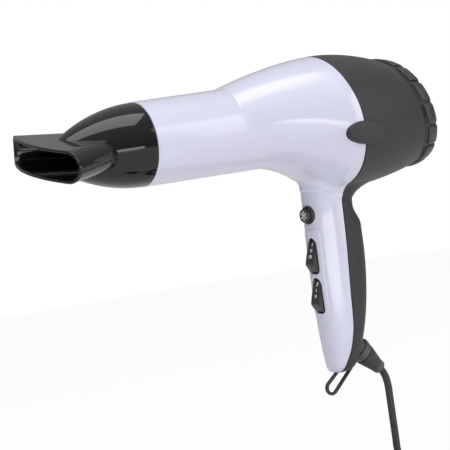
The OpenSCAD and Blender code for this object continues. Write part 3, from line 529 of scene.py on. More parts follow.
HANDLE_POWER = 2.5  # of the superellipse that the handle's section is
HANDLE_POINTS, ARC_POINTS = 240, 78
FRONT_MID, FRONT_BOW = -12, 1800  # height at which the front stands out most, and how slowly it falls back
BACK_MID, BACK_BOW = 22, 370
NECK_IN, NECK_FROM, NECK_OVER = 5, 31, 13  # how far the back comes in under the hood, from where and over what height
FLARE_OVER, FLARE_POWER, FLARE_FRONT, FLARE_BACK = 10, 2.3, 0.5, 12
TAPER, TAPER_FROM, TAPER_OVER = 0.45, -20, 46  # loss of width towards the tip
TIP = [(-40, -18), (-11.8, -45.4), (1.5, -58.3), (6, -62.5), (10, -64)]  # (x, z) along the tip's back
TIP_LOW, TIP_R, TIP_FRONT, TIP_BEND = -64, 5, 19, -54  # lowest height, corner radius, front's x, height of its bend
TIP_BACK_FROM, TIP_FRONT_FROM, TIP_SOFT = -34, -50, 3.0
ROOT, LEDGE = 4.0, 0.5  # radius of the soft root under the hood, and the small ledge over it
BURIED = 1.0  # how far the handle's last row stands inside the hood
GRIP_SOFT = 0.5
GRIP_ZS = [GRIP_MID + GRIP_PITCH * (i - (GRIPS - 1) / 2) for i in range(GRIPS)]
NO_GROOVE = -99


def ease(t):
    """0 to 1 with a soft start and end"""
    t = min(1.0, max(0.0, t))
    return t * t * (3 - 2 * t)


def flare(z):
    return (max(0.0, z - NECK_Z) / FLARE_OVER) ** FLARE_POWER


def front_x(z):
    return FRONT_AHEAD - (z - FRONT_MID) ** 2 / FRONT_BOW + FLARE_FRONT * flare(z)


def back_x(z):
    bow = min(0.0, z - BACK_MID) ** 2 / BACK_BOW
    return -BACK_BEHIND + bow + NECK_IN * ease((z - NECK_FROM) / NECK_OVER) - FLARE_BACK * flare(z)


def half_width(z):
    return HANDLE_HALF_W * (1 - TAPER * (max(0.0, TAPER_FROM - z) / TAPER_OVER) ** 2)


def tip_range(z):
    """least and greatest x of the handle's side outline at a height near its tip, its corners rounded"""
    if z > TIP_BACK_FROM:
        return back_x(z) - TIP_R, front_x(z) + TIP_R
    ahead = Vector((TIP_LOW - TIP_BEND, front_x(TIP_BEND) + 1 - TIP_FRONT)).normalized()
    low, high = [], []
    for e in np.linspace(max(z - TIP_R, TIP_LOW + TIP_R), z + TIP_R, 41):
        reach = math.sqrt(max(0.0, TIP_R ** 2 - (z - e) ** 2))
        xs = []
        for (x0, z0), (x1, z1) in zip(TIP, TIP[1:]):
            n = Vector((z0 - z1, x1 - x0)).normalized()
            xs.append(x0 + (TIP_R - n.y * (e - z0)) / n.x)
        low.append(max(xs) - reach)
        front = TIP_FRONT + (TIP_R - ahead.y * (e - TIP_LOW)) / ahead.x if e < TIP_BEND + 2 else front_x(e)
        high.append(front + reach)
    return min(low), max(high)


def signed_power(v, power):
    return math.copysign(abs(v) ** power, v)


def handle_ring(z):
    """the handle's outline at a height"""
    x0, x1, b = back_x(z), front_x(z), half_width(z)
    cx, hx = (x0 + x1) / 2, (x1 - x0) / 2
    low, high = tip_range(z)
    s = min(1.0, max(0.0, (TIP_LOW + TIP_R - z) / TIP_R))
    b -= TIP_R * (1 - math.sqrt(max(0.0, 1 - s * s)))
    ring = []
    for a in circle(HANDLE_POINTS):
        x = cx + hx * signed_power(math.cos(a), 2 / HANDLE_POWER)
        y = b * signed_power(math.sin(a), 2 / HANDLE_POWER)
        if z < TIP_BACK_FROM:
            x = soft_max(x, low, TIP_SOFT)
        if z < TIP_FRONT_FROM:
            x = -soft_max(-x, -high, TIP_SOFT)
        ring.append(Vector((x, y, z)))
    return ring


def crossing(p, q, x):
    """where the line from one point to another reaches x"""
    return p.lerp(q, (x - p.x) / (q.x - p.x))


def arc(ring, side, seam=None):
    """the part of a ring ahead of the seam or behind it, from the seam round to the seam, evenly spaced"""
    z = ring[0].z
    line = (seam_x(z) if seam is None else seam) + side * GAP
    n = len(ring)
    inside = [side * (p.x - line) > 0 for p in ring]
    i = next(k for k in range(n) if inside[k] and not inside[k - 1])
    pts = [crossing(ring[i - 1], ring[i], line)]
    while inside[i % n]:
        pts.append(ring[i % n])
        i += 1
    pts.append(crossing(ring[(i - 1) % n], ring[i % n], line))
    along = np.concatenate([[0], np.cumsum([(b - a).length for a, b in zip(pts, pts[1:])])])
    total = along[-1]
    edge = min(0.5, 0.5 * total / (ARC_POINTS - 3))
    want = [0, edge, *np.linspace(0, total, ARC_POINTS - 2)[1:-1], total - edge, total]
    xs = np.interp(want, along, [p.x for p in pts])
    ys = np.interp(want, along, [p.y for p in pts])
    out = [Vector((x, y, z)) for x, y in zip(xs, ys)]
    mid = Vector(((pts[0].x + pts[-1].x) / 2, 0, z))
    for k in (0, -1):
        out[k] += (mid - out[k]).normalized() * EDGE_TURN
    return out


def spread(points, share):
    """lifts a row to a share of the way up to the hood, and moves it outward in a soft root with a small ledge"""
    lifted = [Vector((p.x, p.y, NECK_LOW + (under_hood(p.x, p.y) + BURIED - NECK_LOW) * share)) for p in points]
    out = []
    n = len(points)
    for i, p in enumerate(lifted):
        t = points[min(i + 1, n - 1)] - points[max(i - 1, 0)]
        side = Vector((t.y, -t.x, 0)).normalized()
        if side.dot(Vector((p.x, p.y, 0))) < 0:
            side = -side
        s = max(0.0, under_hood(p.x, p.y) - p.z)
        move = ROOT - math.sqrt(ROOT * ROOT - (ROOT - s) ** 2) if s < ROOT else 0.0
        move += LEDGE * ease((ROOT + 3.0 - s) / 1.4)
        q = p + side * move
        q.z += (under_hood(q.x, q.y) - under_hood(p.x, p.y)) * ease((ROOT + 1.0 - s) / ROOT)
        out.append(q)
    return out


def groove_x(z):
    """x of a grip groove's surface at a height, far behind the handle between grooves"""
    off = min((z - grip for grip in GRIP_ZS), key=abs)
    if abs(off) >= GRIP_R:
        return NO_GROOVE
    return back_x(z - off) - GRIP_DEPTH + math.sqrt(max(0.0, GRIP_R ** 2 - off * off))


def handle_skin(name, side):
    """the handle ahead of the seam or behind it, from its tip up into the hood"""
    zs = [TIP_LOW + TIP_R - TIP_R * math.sin(math.radians(d)) for d in (89, 78, 66, 54, 42, 30, 20, 10)]
    zs += [*np.arange(-58.4, -34, 1.2), *np.arange(-34, -6, 1.5), *np.arange(-6, NECK_LOW, 0.4 if side < 0 else 1.5)]
    rows = []
    for z in zs:
        ring = handle_ring(z)
        reach = [side * (p.x - seam_x(z)) for p in ring]
        if max(reach) < 0.9 or min(reach) > -0.1:
            continue
        points = arc(ring, side)
        if side < 0:
            groove = groove_x(z)
            for p in points:
                p.x = soft_max(p.x, groove, GRIP_SOFT)
        rows.append(points)
    for share in [0.0, 0.12, 0.24, 0.34, 0.42, *np.linspace(0.48, 0.9, 22), 0.925, 0.95, 0.97, 0.985, 1.0]:
        z = NECK_LOW + (under_hood(-2, HANDLE_HALF_W) + BURIED - NECK_LOW) * share
        rows.append(spread(arc(handle_ring(min(z, 58)), side, seam_x(z)), share))
    return loft(name, rows, close=False, ends=(True, False))


def box_tool(lo, hi):
    xs = [(lo[i], hi[i]) for i in range(3)]
    verts = [Vector((xs[0][i], xs[1][j], xs[2][k])) for i in (0, 1) for j in (0, 1) for k in (0, 1)]
    return raw("tool", verts, [(0, 1, 3, 2), (4, 6, 7, 5), (0, 4, 5, 1), (2, 3, 7, 6), (0, 2, 6, 4), (1, 5, 7, 3)])


def rod_tool(start, end, radius):
    x = (Vector(end) - Vector(start)).normalized()
    y = Vector((0, 1, 0)) if abs(x.y) < 0.9 else Vector((0, 0, 1))
    z = x.cross(y).normalized()
    y = z.cross(x)
    return solid("tool", [[Vector(p) + (y * math.cos(a) + z * math.sin(a)) * radius for a in circle(40)]
                          for p in (start, end)])


def body_middle(p):
    return p.x, 0, 0.1


def handle_middle(p):
    return seam_x(p.z / MM) * MM, 0, p.z


def axis_place(along, across, up):
    return Vector((along, across, AXIS + up))


finish(thicken(body_skin("front_shell", 1), body_middle), 28, "shell_pearl", "front_cover")
finish(thicken(body_skin("rear_shell", -1), body_middle), 28, "shell_dark", "rear_cover")


grip_front = thicken(handle_skin("handle_front", 1), handle_middle)
cut(grip_front, box_tool((8, -6, -26), (40, 6, 29)))
cut(grip_front, rod_tool((10, 0, COOL_Z), (40, 0, COOL_Z), BUTTON_HOLE_R))
finish(grip_front, 32, "shell_pearl")
grip_rear = thicken(handle_skin("handle_rear", -1), handle_middle)
for z, depth in SCREW_SEATS:
    cut(grip_rear, rod_tool((-60, 0, z), (back_x(z) + depth, 0, z), SCREW_SEAT_R))
finish(grip_rear, 32, "shell_dark")
socket = lathe("mouth_ring_finished", [
    (SOCKET_R, 118.7), (SOCKET_R + 1.0, 118.5), (SOCKET_R + 1.0, 138.0), (BARREL_R - WALL + 0.2, 138.6),
    (BARREL_R - WALL + 0.2, 138.75), (SOCKET_R + 0.6, 138.8), (SOCKET_R, 138.3)], axis_place, 96)
finish(socket, 40, "shell_pearl", "mouth_ring")


# ---- switch panel, rockers and button ----

PANEL_PROUD, PANEL_EDGE_R, PANEL_DROP = 0.38, 0.45, 0.3  # height over the handle, width and depth of the round border
EDGE_STEP, PANEL_STEP = 0.8, 0.7  # spacing of the points along its edges and over its face
BORDER_ROWS = (0.18, 0.42)  # distances from the edge of the rows of points in its border


def on_front(z):
    """the frame on the handle's front face at a height: its +X stands out of the face"""
    lean = math.atan(-(z - FRONT_MID) / (FRONT_BOW / 2))
    return Matrix.Translation((front_x(z), 0, z)) @ Matrix.Rotation(lean, 4, "Y")


def bend(y, z, r, start, stop, count):
    """points of a circle's arc, its ends given in half turns"""
    return [(y + r * math.cos(a), z + r * math.sin(a)) for a in np.linspace(start * math.pi, stop * math.pi, count)]


def rocker_outline(grow):
    """a rocker's outline from the front, grown all round; its top is round"""
    half, end, corner = ROCKER_W / 2 + grow, ROCKER_LEN / 2 + grow, ROCKER_CORNER + grow
    return (bend(0, end - half, half, 0, 1, 24) + bend(corner - half, corner - end, corner, 1, 1.5, 9)
            + bend(half - corner, corner - end, corner, 1.5, 2, 9))


def window_depth(y, z, mid):
    """how far outside a rocker's window a point is"""
    half, end, corner = ROCKER_W / 2 + WINDOW_GAP, ROCKER_LEN / 2 + WINDOW_GAP, ROCKER_CORNER + WINDOW_GAP
    z -= mid
    if z > end - half:
        return math.hypot(y, z - (end - half)) - half
    if z < corner - end and abs(y) > half - corner:
        return math.hypot(abs(y) - (half - corner), z - (corner - end)) - corner
    return max(abs(y) - half, -end - z)


def panel_outline():
    """the panel's outline from the front; its lower end is round"""
    side, top = PANEL_HALF - PANEL_CORNER, PANEL_TOP - PANEL_CORNER
    return (bend(0, PANEL_LOW + PANEL_HALF, PANEL_HALF, 1, 2, 40) + bend(side, top, PANEL_CORNER, 0, 0.5, 12)
            + bend(-side, top, PANEL_CORNER, 0.5, 1, 12))


def outline_depth(y, z):
    """how far inside the panel's outline a point is"""
    side, top = PANEL_HALF - PANEL_CORNER, PANEL_TOP - PANEL_CORNER
    if z < PANEL_LOW + PANEL_HALF:
        return PANEL_HALF - math.hypot(y, z - (PANEL_LOW + PANEL_HALF))
    if z > top and abs(y) > side:
        return PANEL_CORNER - math.hypot(abs(y) - side, z - top)
    return min(PANEL_HALF - abs(y), PANEL_TOP - z)


def panel_depth(y, z):
    """how far from the panel's nearest edge a point on it is"""
    return min(outline_depth(y, z), window_depth(y, z, HEAT_Z), window_depth(y, z, SPEED_Z))


def panel_surface(y, z, proud):
    """a point over the handle's face, lifted out of it"""
    x0, x1, b = back_x(z), front_x(z), half_width(z)
    hx = (x1 - x0) / 2
    x = (x0 + x1) / 2 + hx * (1 - min(1, abs(y) / b) ** HANDLE_POWER) ** (1 / HANDLE_POWER)
    return Vector((x + proud, y, z))


def divided(loop):
    """a closed loop with points added along its longer sides"""
    dense = []
    for (y0, z0), (y1, z1) in zip(loop, loop[1:] + loop[:1]):
        n = max(1, int(math.hypot(y1 - y0, z1 - z0) / EDGE_STEP))
        dense += [(y0 + (y1 - y0) * k / n, z0 + (z1 - z0) * k / n) for k in range(n)]
    return dense


def border_points(pts, edges):
    """points in rows that follow the panel's edges, for its rounded border"""
    rows = []
    for a, b in edges:
        (y0, z0), (y1, z1) = pts[a], pts[b]
        n = Vector((z0 - z1, y1 - y0))
        if n.length < 1e-6:
            continue
        n.normalize()
        for d in BORDER_ROWS:
            for s in (1, -1):
                q = (y0 + s * n.x * d, z0 + s * n.y * d)
                if abs(panel_depth(*q) - d) < 0.04:
                    rows.append(q)
    return rows


def make_panel():
    """the panel with its two windows, its border rounded off towards every edge"""
    loops = [panel_outline()] + [[(y, mid + z) for y, z in rocker_outline(WINDOW_GAP)] for mid in (HEAT_Z, SPEED_Z)]
    pts, edges = [], []
    for loop in loops:
        dense = divided(loop)
        edges += [(len(pts) + i, len(pts) + (i + 1) % len(dense)) for i in range(len(dense))]
        pts += dense
    for z in np.arange(PANEL_LOW, PANEL_TOP, PANEL_STEP):
        for y in np.arange(-PANEL_HALF, PANEL_HALF + 0.01, PANEL_STEP):
            if panel_depth(y, z) > 0.75:
                pts.append((float(y), float(z)))
    pts += border_points(pts, edges)
    made = delaunay_2d_cdt([Vector(p) for p in pts], edges, [], 0, 1e-5)
    flat, faces = made[0], made[2]
    keep = []
    for f in faces:
        c = sum((flat[i] for i in f), Vector((0, 0))) / len(f)
        if panel_depth(c.x, c.y) > 0.0:
            keep.append(tuple(f))
    verts = []
    for v in flat:
        near = max(0.0, 1 - max(0.0, panel_depth(v.x, v.y)) / PANEL_EDGE_R)
        drop = PANEL_DROP * (1 - math.sqrt(1 - near ** 2))
        verts.append(panel_surface(v.x, v.y, PANEL_PROUD - drop))
    obj = thicken(raw("switch_panel_finished", verts, keep), handle_middle, PANEL_WALL)
    finish(obj, 50, "shell_pearl", "switch_panel")


make_panel()


def mark(name, strokes, place, body, width=0.55, thick=0.12):
    """a printed mark of bars, each from one point to another in the mark's own plane, in millimetres"""
    verts, faces = [], []
    for (x0, y0), (x1, y1) in strokes:
        d = Vector((x1 - x0, y1 - y0))
        length = d.length or 1.0
        side = Vector((-d.y, d.x)) / length * width / 2
        base = len(verts)
        for h in (0, thick):
            for px, py, s in ((x0, y0, 1), (x1, y1, 1), (x1, y1, -1), (x0, y0, -1)):
                verts.append(place @ Vector((h, px + s * side.x, py + s * side.y)))
        faces += [tuple(base + i for i in f) for f in ((0, 1, 2, 3), (4, 5, 6, 7), (0, 1, 5, 4), (1, 2, 6, 5),
                                                       (2, 3, 7, 6), (3, 0, 4, 7))]
    dress(raw(name, verts, faces), MARK, body)


def bars(n, high=2.2, pitch=1.15):
    """n upright bars, side by side"""
    return [((pitch * (i - (n - 1) / 2), -high / 2), (pitch * (i - (n - 1) / 2), high / 2)) for i in range(n)]


def ring_strokes(r_y, r_z):
    n = 14
    pts = [(r_y * math.cos(2 * math.pi * i / n), r_z * math.sin(2 * math.pi * i / n)) for i in range(n + 1)]
    return list(zip(pts, pts[1:]))


FACE_TOP, FACE_DROP, FACE_ROUND = 10.2, 14.3, 0.3  # a rocker's face: its upper end, its height and how far it bulges
MARK_FIRST, MARK_PITCH = 0.18, 0.27  # shares of the face from its top


def hump_point(t):
    """a point of a rocker's face from its top to its nose: out from the pivot, and up"""
    return PIVOT - 2.0 + (NOSE + 1.9) * t + FACE_ROUND * math.sin(math.pi * t), FACE_TOP - FACE_DROP * t


def rocker_marks(prefix, z, body, symbols):
    """the marks on a rocker's face, each lying on the curve of it"""
    face = on_front(z) @ Matrix.Translation((-PIVOT, 0, 0))
    for i, strokes in enumerate(symbols):
        t = MARK_FIRST + MARK_PITCH * i
        (x0, z0), (x1, z1) = hump_point(t - 0.05), hump_point(t + 0.05)
        down = Vector((x1 - x0, 0, z1 - z0)).normalized()
        out = Vector((-down.z, 0, down.x))
        at = Vector(((x0 + x1) / 2, 0, (z0 + z1) / 2))
        plane = Matrix(((out.x, 0, -down.x, at.x), (0, 1, 0, 0), (out.z, 0, -down.z, at.z), (0, 0, 0, 1)))
        mark(f"{prefix}_mark_{i + 1}", strokes, face @ plane @ Matrix.Translation((-0.04, 0, 0)), body)


def make_rocker(node, z):
    """the rocker's side profile cut to its rounded outline, its edges softened"""
    place = on_front(z) @ Matrix.Translation((-PIVOT, 0, 0))
    low, high, back = -10.9, 10.9, 1.2
    profile = [(PIVOT - 2.2, high), (PIVOT - 2.0, FACE_TOP)] + [hump_point(t) for t in np.linspace(0.1, 1, 12)]
    profile += [(PIVOT + NOSE, -4.9), (PIVOT + NOSE - 0.15, -5.7), (PIVOT + NOSE - 0.6, -6.6), (PIVOT + 1.5, -8.5),
                (PIVOT - 0.2, low), (back, low), (back, high)]
    rows = [[place @ Vector((x, y, h)) for x, h in profile] for y in (-ROCKER_W / 2 - 1, ROCKER_W / 2 + 1)]
    obj = solid(node + "_finished", rows)
    prism = [[place @ Vector((x, y, h)) for y, h in rocker_outline(0)] for x in (-2, PIVOT + 8)]
    cut(obj, solid("tool", prism), "INTERSECT")
    finish(bevel(obj, 0.55, 3, 32), 50, "control_grey", node, body=BODY_OF[node])


make_rocker("heat_rocker", HEAT_Z)
make_rocker("speed_rocker", SPEED_Z)
rocker_marks("heat", HEAT_Z, "heat_rocker", [bars(1), bars(2), bars(3)])
rocker_marks("speed", SPEED_Z, "speed_rocker", [ring_strokes(0.85, 1.15), bars(1), bars(2)])


def button_place(ahead, across, up):
    """a point about the button's line, ahead of the handle's face"""
    return Vector((FACE_X + ahead, across, COOL_Z + up))


FACE_X = front_x(COOL_Z)
button = lathe("cool_shot_finished", [
    (0.01, 3.72), (2.4, 3.72), (3.55, 3.72), (3.72, 3.8), (3.86, 3.96), (4.08, 4.0), (4.36, 3.86), (4.56, 3.5),
    (4.6, 3.0), (4.6, -4.8), (5.1, -4.8), (5.1, -5.15), (1.5, -5.15), (1.5, -12.4), (0.01, -12.4)],
    button_place, 56, closed=False)
finish(button, 50, "control_grey", "cool_shot_button", body="cool_button")
bezel = lathe("cool_shot_bezel_finished", [
    (4.85, -3.4), (4.85, 0.9), (5.0, 1.25), (5.35, 1.4), (5.75, 1.3), (6.05, 1.0), (6.2, 0.5), (6.2, -2.6),
    (5.05, -2.6), (5.05, -3.4)], button_place, 56)
finish(bezel, 50, "shell_dark", "cool_shot_bezel")


def snowflake():
    """six arms, each with a pair of twigs"""
    arm, fork, twig, spread_angle = 3.35, 1.9, 1.1, math.pi / 3.4
    strokes = []
    for k in range(6):
        a = math.pi / 2 + k * math.pi / 3
        d = Vector((math.cos(a), math.sin(a)))
        strokes.append(((0, 0), tuple(d * arm)))
        for s in (1, -1):
            e = Vector((math.cos(a + s * spread_angle), math.sin(a + s * spread_angle)))
            strokes.append((tuple(d * fork), tuple(d * fork + e * twig)))
    return strokes


mark("cool_mark", snowflake(), Matrix.Translation((FACE_X + 3.66, 0, COOL_Z)), "cool_button", 0.42, 0.2)


# ---- oval caps ----

def oval_cap(side):
    """a low dome on a superellipse, on the left (1) or the right (-1)"""
    rows = []
    points, power, ahead, down = 96, 2 / 2.2, -4, 14
    c, s = math.cos(OVAL_LEAN), math.sin(OVAL_LEAN)
    # share of the full size, and distance outward
    profile = [(1.0, -6.5), (1.0, -0.75), (0.995, -0.4), (0.982, -0.1), (0.962, 0.1), (0.935, 0.22), (0.9, 0.3),
               (0.75, 0.45), (0.55, 0.62), (0.4, 0.74), (0.25, 0.83), (0.1, 0.88)]
    for k, h in profile:
        row = []
        for a in circle(points):
            x = OVAL_LONG * k * signed_power(math.cos(a), power)
            z = OVAL_HIGH * k * signed_power(math.sin(a), power)
            row.append(Vector((ahead + x * c - z * s, side * (OVAL_OUT + h), AXIS - down + x * s + z * c)))
        rows.append(row)
    name = "left" if side > 0 else "right"
    finish(loft(f"oval_cap_{name}_finished", rows, ends=(False, True)), 50, "shell_dark", f"oval_cap_{name}")


oval_cap(1)
oval_cap(-1)


# ---- nozzle ----

def nozzle_point(x, y, z):
    """a point of the nozzle before it is turned, x ahead of the barrel's mouth, y and z from the axis"""
    c, s = math.cos(NOZZLE_TURN), math.sin(NOZZLE_TURN)
    return Vector((NOZZLE_X + x, y * c - z * s, AXIS + y * s + z * c))


def dome_r(t):
    """radius of the round part at a share of its length"""
    return (BARREL_R - 0.3) * (1 - t ** 1.9) ** 0.8


def spout_ring(f, inset):
    """a loop of the flat spout at a share of its length from root to lip"""
    count = 160
    r = SLOT_H / 2
    flat_root, flat_lip = SPOUT_ROOT_W / 2 - r, SLOT_W / 2 - r
    loop = []
    for i in range(count):
        # a quarter of the points on each round end and each flat side
        q = 4 * i / count
        part, t = int(q), q - int(q)
        if part == 0:
            b, k = -math.pi / 2 + math.pi * t, 1
        elif part == 1:
            b, k = math.pi / 2, 1 - 2 * t
        elif part == 2:
            b, k = math.pi / 2 + math.pi * t, -1
        else:
            b, k = -math.pi / 2, -1 + 2 * t
        y_root = k * flat_root + (r - inset) * math.cos(b)
        y_lip = k * flat_lip + (r - inset) * math.cos(b)
        lip = NOZZLE_LEN - LIP_R + math.sqrt(LIP_R ** 2 - y_lip * y_lip)
        loop.append((SPOUT_ROOT + (lip - SPOUT_ROOT) * f, y_root + (y_lip - y_root) * f, (r - inset) * math.sin(b)))
    return loop


def turned(rows):
    return [[nozzle_point(*p) for p in r] for r in rows]


def make_nozzle():
    """a flat spout with a round lip, and a dome and sleeve that it runs through"""
    w = NOZZLE_WALL
    lip_edge, sleeve_edge, groove, groove_low, groove_high = 0.35, 0.5, 0.9, -7.6, -4.8
    rows = [spout_ring(f, 0) for f in np.linspace(0, 0.985, 30)]
    for deg in range(0, 181, 18):
        a = math.radians(deg)
        inset = w / 2 * (1 - math.cos(a))
        back = w / 2 * (1 - math.sin(a))
        rows.append([(x - back, y, z) for x, y, z in spout_ring(1.0, inset)])
    rows += [spout_ring(f, w) for f in np.linspace(0.97, 0.0, 24)]
    spout = loft("nozzle_finished", turned(rows + [rows[0]]))
    tool = solid("tool", turned(spout_ring(f, 0.4) for f in np.linspace(-0.02, 1.0, 30)))
    outer = [(dome_r(t), t * DOME_LEN) for t in np.linspace(0.0, 0.9, 44)]
    outer[:1] = [(dome_r(0) - lip_edge, 0.0), (dome_r(0), lip_edge)]
    inner = [(dome_r(t) - w, t * DOME_LEN) for t in np.linspace(0.88, 0.03, 30)]
    sleeve = [(SLEEVE_R - w, -SLEEVE_LEN), (SLEEVE_R - 0.4, -SLEEVE_LEN), (SLEEVE_R, -SLEEVE_LEN + sleeve_edge),
              (SLEEVE_R, groove_low), (SLEEVE_R - groove, groove_low), (SLEEVE_R - groove, groove_high),
              (SLEEVE_R, groove_high), (SLEEVE_R, 0.0)]
    dome = lathe("dome", sleeve + outer + inner + [(SLEEVE_R - w, 1.9)], nozzle_point, 112)
    cut(dome, tool)
    bm = bmesh.new()
    bm.from_mesh(spout.data)
    bm.from_mesh(dome.data)
    bm.to_mesh(spout.data)
    bm.free()
    discard(dome)
    finish(spout, 34, "nozzle_black", "nozzle", body="nozzle")


make_nozzle()
soften("nozzle_clip", 0.12)


# ---- rear cap, screws, strain relief and loop ----

def tail_place(r, a, h):
    """a point about the body's tail: radius, angle from the top, and distance behind the seam"""
    up, across = r * math.cos(a), r * math.sin(a)
    return Vector((-TAIL_X + up * math.sin(TILT) - h / math.cos(TILT), across,
                   AXIS - HOOD_DROP + up * math.cos(TILT)))


def make_cap_grips():
    """the raised pads round the rear cap, with a narrow notch between each two"""
    # distance outside the tail's radius and behind the seam
    side = [(TAIL_R + out, behind) for out, behind in (
        (-0.9, 1.9), (0.25, 2.0), (0.7, 2.5), (0.75, 4.0), (0.35, 6.5), (-0.35, 9.0), (-1.1, 10.6), (-2.0, 11.3),
        (-3.2, 11.6), (-4.2, 10.0), (-2.6, 6.0))]
    steps, notch, fall_from, fall_by = 10, 0.030, 0.8, 0.35
    n = len(side)
    half = math.pi / CAP_GRIPS - notch
    verts, faces = [], []
    for g in range(CAP_GRIPS):
        mid = 2 * math.pi * g / CAP_GRIPS
        base = len(verts)
        for i in range(steps + 1):
            t = 2 * i / steps - 1
            fall = fall_by * max(0.0, abs(t) - fall_from) / (1 - fall_from)
            for k, (r, h) in enumerate(side):
                verts.append(tail_place(r - (fall if 0 < k < n - 2 else 0), mid + half * t, h))
        faces += [tuple(base + k for k in face) for face in grid_faces(steps + 1, n, True)]
        faces.append(tuple(base + k for k in range(n)))
        faces.append(tuple(base + steps * n + k for k in range(n))[::-1])
    finish(bevel(raw("rear_cap_pads", verts, faces), 0.25, 2, 40), 40, "shell_dark", body="rear_cap", look=CAP_GREY)


soften("rear_cap", 0.5, CAP_GREY, angle=28, segments=3)
make_cap_grips()
soften("filter_frame", 0.25)
soften("cover_screws", 0.2)
soften("inlet_ring", 0.25)


def boot_place(along, across, up):
    """a point about the strain relief's line, which runs down and back out of the handle"""
    side = Vector((math.sin(BOOT_DIP), 0, -math.cos(BOOT_DIP)))
    return BOOT + BOOT_OUT * along + Vector((0, 1, 0)) * across + side * up


def make_relief():
    """flange, head, ribs that grow smaller and a collar, round the lead's hole"""
    ribs, first_rib, collar = 7, 6.6, 4.5
    core_r, core_end_r, rib_r, rib_loss, hole_r = 4.5, 3.4, 7.35, 0.38, 2.52
    pitch = (BOOT_LEN - first_rib - collar) / ribs
    profile = [(hole_r, -6), (7.2, -6), (7.2, -4.2), (6.5, -4.0), (6.5, 0.6), (7.9, 0.6), (8.2, 0.9), (8.2, 1.7),
               (8.15, 2.4), (8.0, 3.2), (7.8, 4.2), (7.6, 5.2), (7.45, 5.8), (7.2, 6.1), (6.2, 6.2), (4.6, first_rib)]
    for i in range(ribs):
        at = first_rib + pitch * i
        outer = rib_r - rib_loss * i
        core = core_r + (core_end_r - core_r) * (at - first_rib) / (BOOT_LEN - first_rib)
        profile += [(core, at + 0.1 * pitch), (core, at + 0.36 * pitch), (outer - 0.25, at + 0.44 * pitch),
                    (outer, at + 0.56 * pitch), (outer - 0.04, at + 0.82 * pitch), (outer - 0.3, at + 0.94 * pitch)]
    profile += [(4.1, 19.9), (4.55, 20.05), (4.8, 20.4), (4.75, 21.6), (4.6, 23.2), (4.35, 23.8), (3.9, 24.0),
                (hole_r, 24.0)]
    finish(lathe("strain_relief_finished", profile, boot_place, 64), 38, "relief_rubber", "strain_relief")


make_relief()


def make_loop():
    """a strand of oval section bent from the handle's end round the tip and back"""
    root, tip = Vector((4.6, 0, -61)), Vector((20.4, 0, -73))
    r_tip, r_root, thin, wide, points = 4.1, 3.3, 1.1, 1.6, 20
    axis = (tip - root).normalized()
    side = Vector((axis.z, 0, -axis.x))
    line = [root + side * (r_root + (r_tip - r_root) * t) + (tip - root) * t for t in np.linspace(0, 1, 16)]
    line += [tip + side * r_tip * math.cos(a) + axis * r_tip * math.sin(a) for a in np.linspace(0, math.pi, 26)[1:-1]]
    line += [root - side * (r_root + (r_tip - r_root) * t) + (tip - root) * t for t in np.linspace(1, 0, 16)]
    across = Vector((0, 1, 0))
    rows = []
    for i, p in enumerate(line):
        t = (line[min(i + 1, len(line) - 1)] - line[max(i - 1, 0)]).normalized()
        n = across.cross(t).normalized()
        rows.append([p + n * thin * math.cos(a) + across * wide * math.sin(a) for a in circle(points)])
    finish(solid("hang_loop_finished", rows), 60, "cord_rubber", "hang_loop")


make_loop()


# ---- floor and light ----

STAGE_R, STAGE_SIDES = 1500, 96
FLOOR_GLOW = 0.93  # share of plain white in what the camera sees of the floor
LAMPS = [  # name, place, aim, size in metres and watts
    ("top_box", (0.15, 0.25, 1.25), (0.05, 0, 0.06), (1.1, 0.8), 8.5),
    ("front_box", (0.9, 0.9, 0.55), (0.05, 0, 0.05), (0.7, 0.7), 5),
    ("side_box", (-0.7, 0.9, 0.35), (0.0, 0, 0.05), (0.5, 0.9), 3),
    ("low_box", (0.35, 1.0, -0.08), (0.03, 0, 0.06), (1.2, 0.12), 2)]


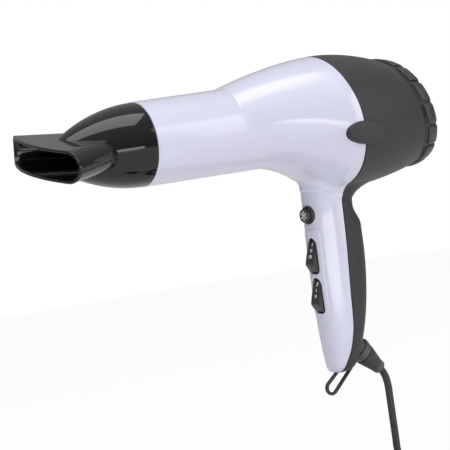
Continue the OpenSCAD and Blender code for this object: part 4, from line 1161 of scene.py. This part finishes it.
def make_floor():
    """a pale disc that keeps the shadow, and looks almost white to the camera"""
    rim = [Vector((STAGE_R * math.cos(a), STAGE_R * math.sin(a), FLOOR - 0.05)) for a in circle(STAGE_SIDES)]
    floor = raw("floor", rim, [tuple(range(STAGE_SIDES))])
    mat = bpy.data.materials.new("floor_white")
    mat.use_nodes = True
    tree = mat.node_tree
    link = tree.links.new
    bsdf = tree.nodes["Principled BSDF"]
    set_inputs(bsdf, Roughness=0.9, Specular_IOR_Level=0.1)
    place = node(tree, "TexCoord")
    noise = node(tree, "TexNoise", Scale=6)
    link(place.outputs["Object"], noise.inputs["Vector"])
    ramp = two_tone(tree, (0.86, 0.86, 0.86), (0.90, 0.90, 0.90))
    link(noise.outputs["Fac"], ramp.inputs["Fac"])
    link(ramp.outputs["Color"], bsdf.inputs["Base Color"])
    glow = node(tree, "Emission", Strength=1.0)
    path = node(tree, "LightPath")
    part = node(tree, "Math")
    part.operation = "MULTIPLY"
    part.inputs[1].default_value = FLOOR_GLOW
    link(path.outputs["Is Camera Ray"], part.inputs[0])
    blended(tree, part.outputs[0], bsdf, glow, "Material Output")
    floor.data.materials.append(mat)


def make_world():
    """soft light from above, plain white to the camera"""
    world = bpy.data.worlds.new("studio")
    bpy.context.scene.world = world
    world.use_nodes = True
    tree = world.node_tree
    link = tree.links.new
    place = node(tree, "TexCoord")
    split = node(tree, "SeparateXYZ")
    link(place.outputs["Generated"], split.inputs[0])
    ramp = two_tone(tree, (0.30, 0.30, 0.30), (0.75, 0.75, 0.76))
    link(split.outputs["Z"], ramp.inputs["Fac"])
    soft = tree.nodes["Background"]
    set_inputs(soft, Strength=0.8)
    link(ramp.outputs["Color"], soft.inputs["Color"])
    white = node(tree, "Background", Color=(1, 1, 1, 1))
    path = node(tree, "LightPath")
    blended(tree, path.outputs["Is Camera Ray"], soft, white, "World Output")


make_floor()
make_world()
for name, at, aim, size, watts in LAMPS:
    data = bpy.data.lights.new(name, "AREA")
    data.shape = "RECTANGLE"
    data.size, data.size_y = size
    data.energy = watts
    lamp = new_object(name, data)
    lamp.location = at
    lamp.rotation_euler = (Vector(aim) - Vector(at)).to_track_quat("-Z", "Y").to_euler()

for name, obj in frame["nodes"].items():
    obj.data.materials.clear()
    obj.data.materials.append(SLOT_LOOK[SLOT_OF[name]])
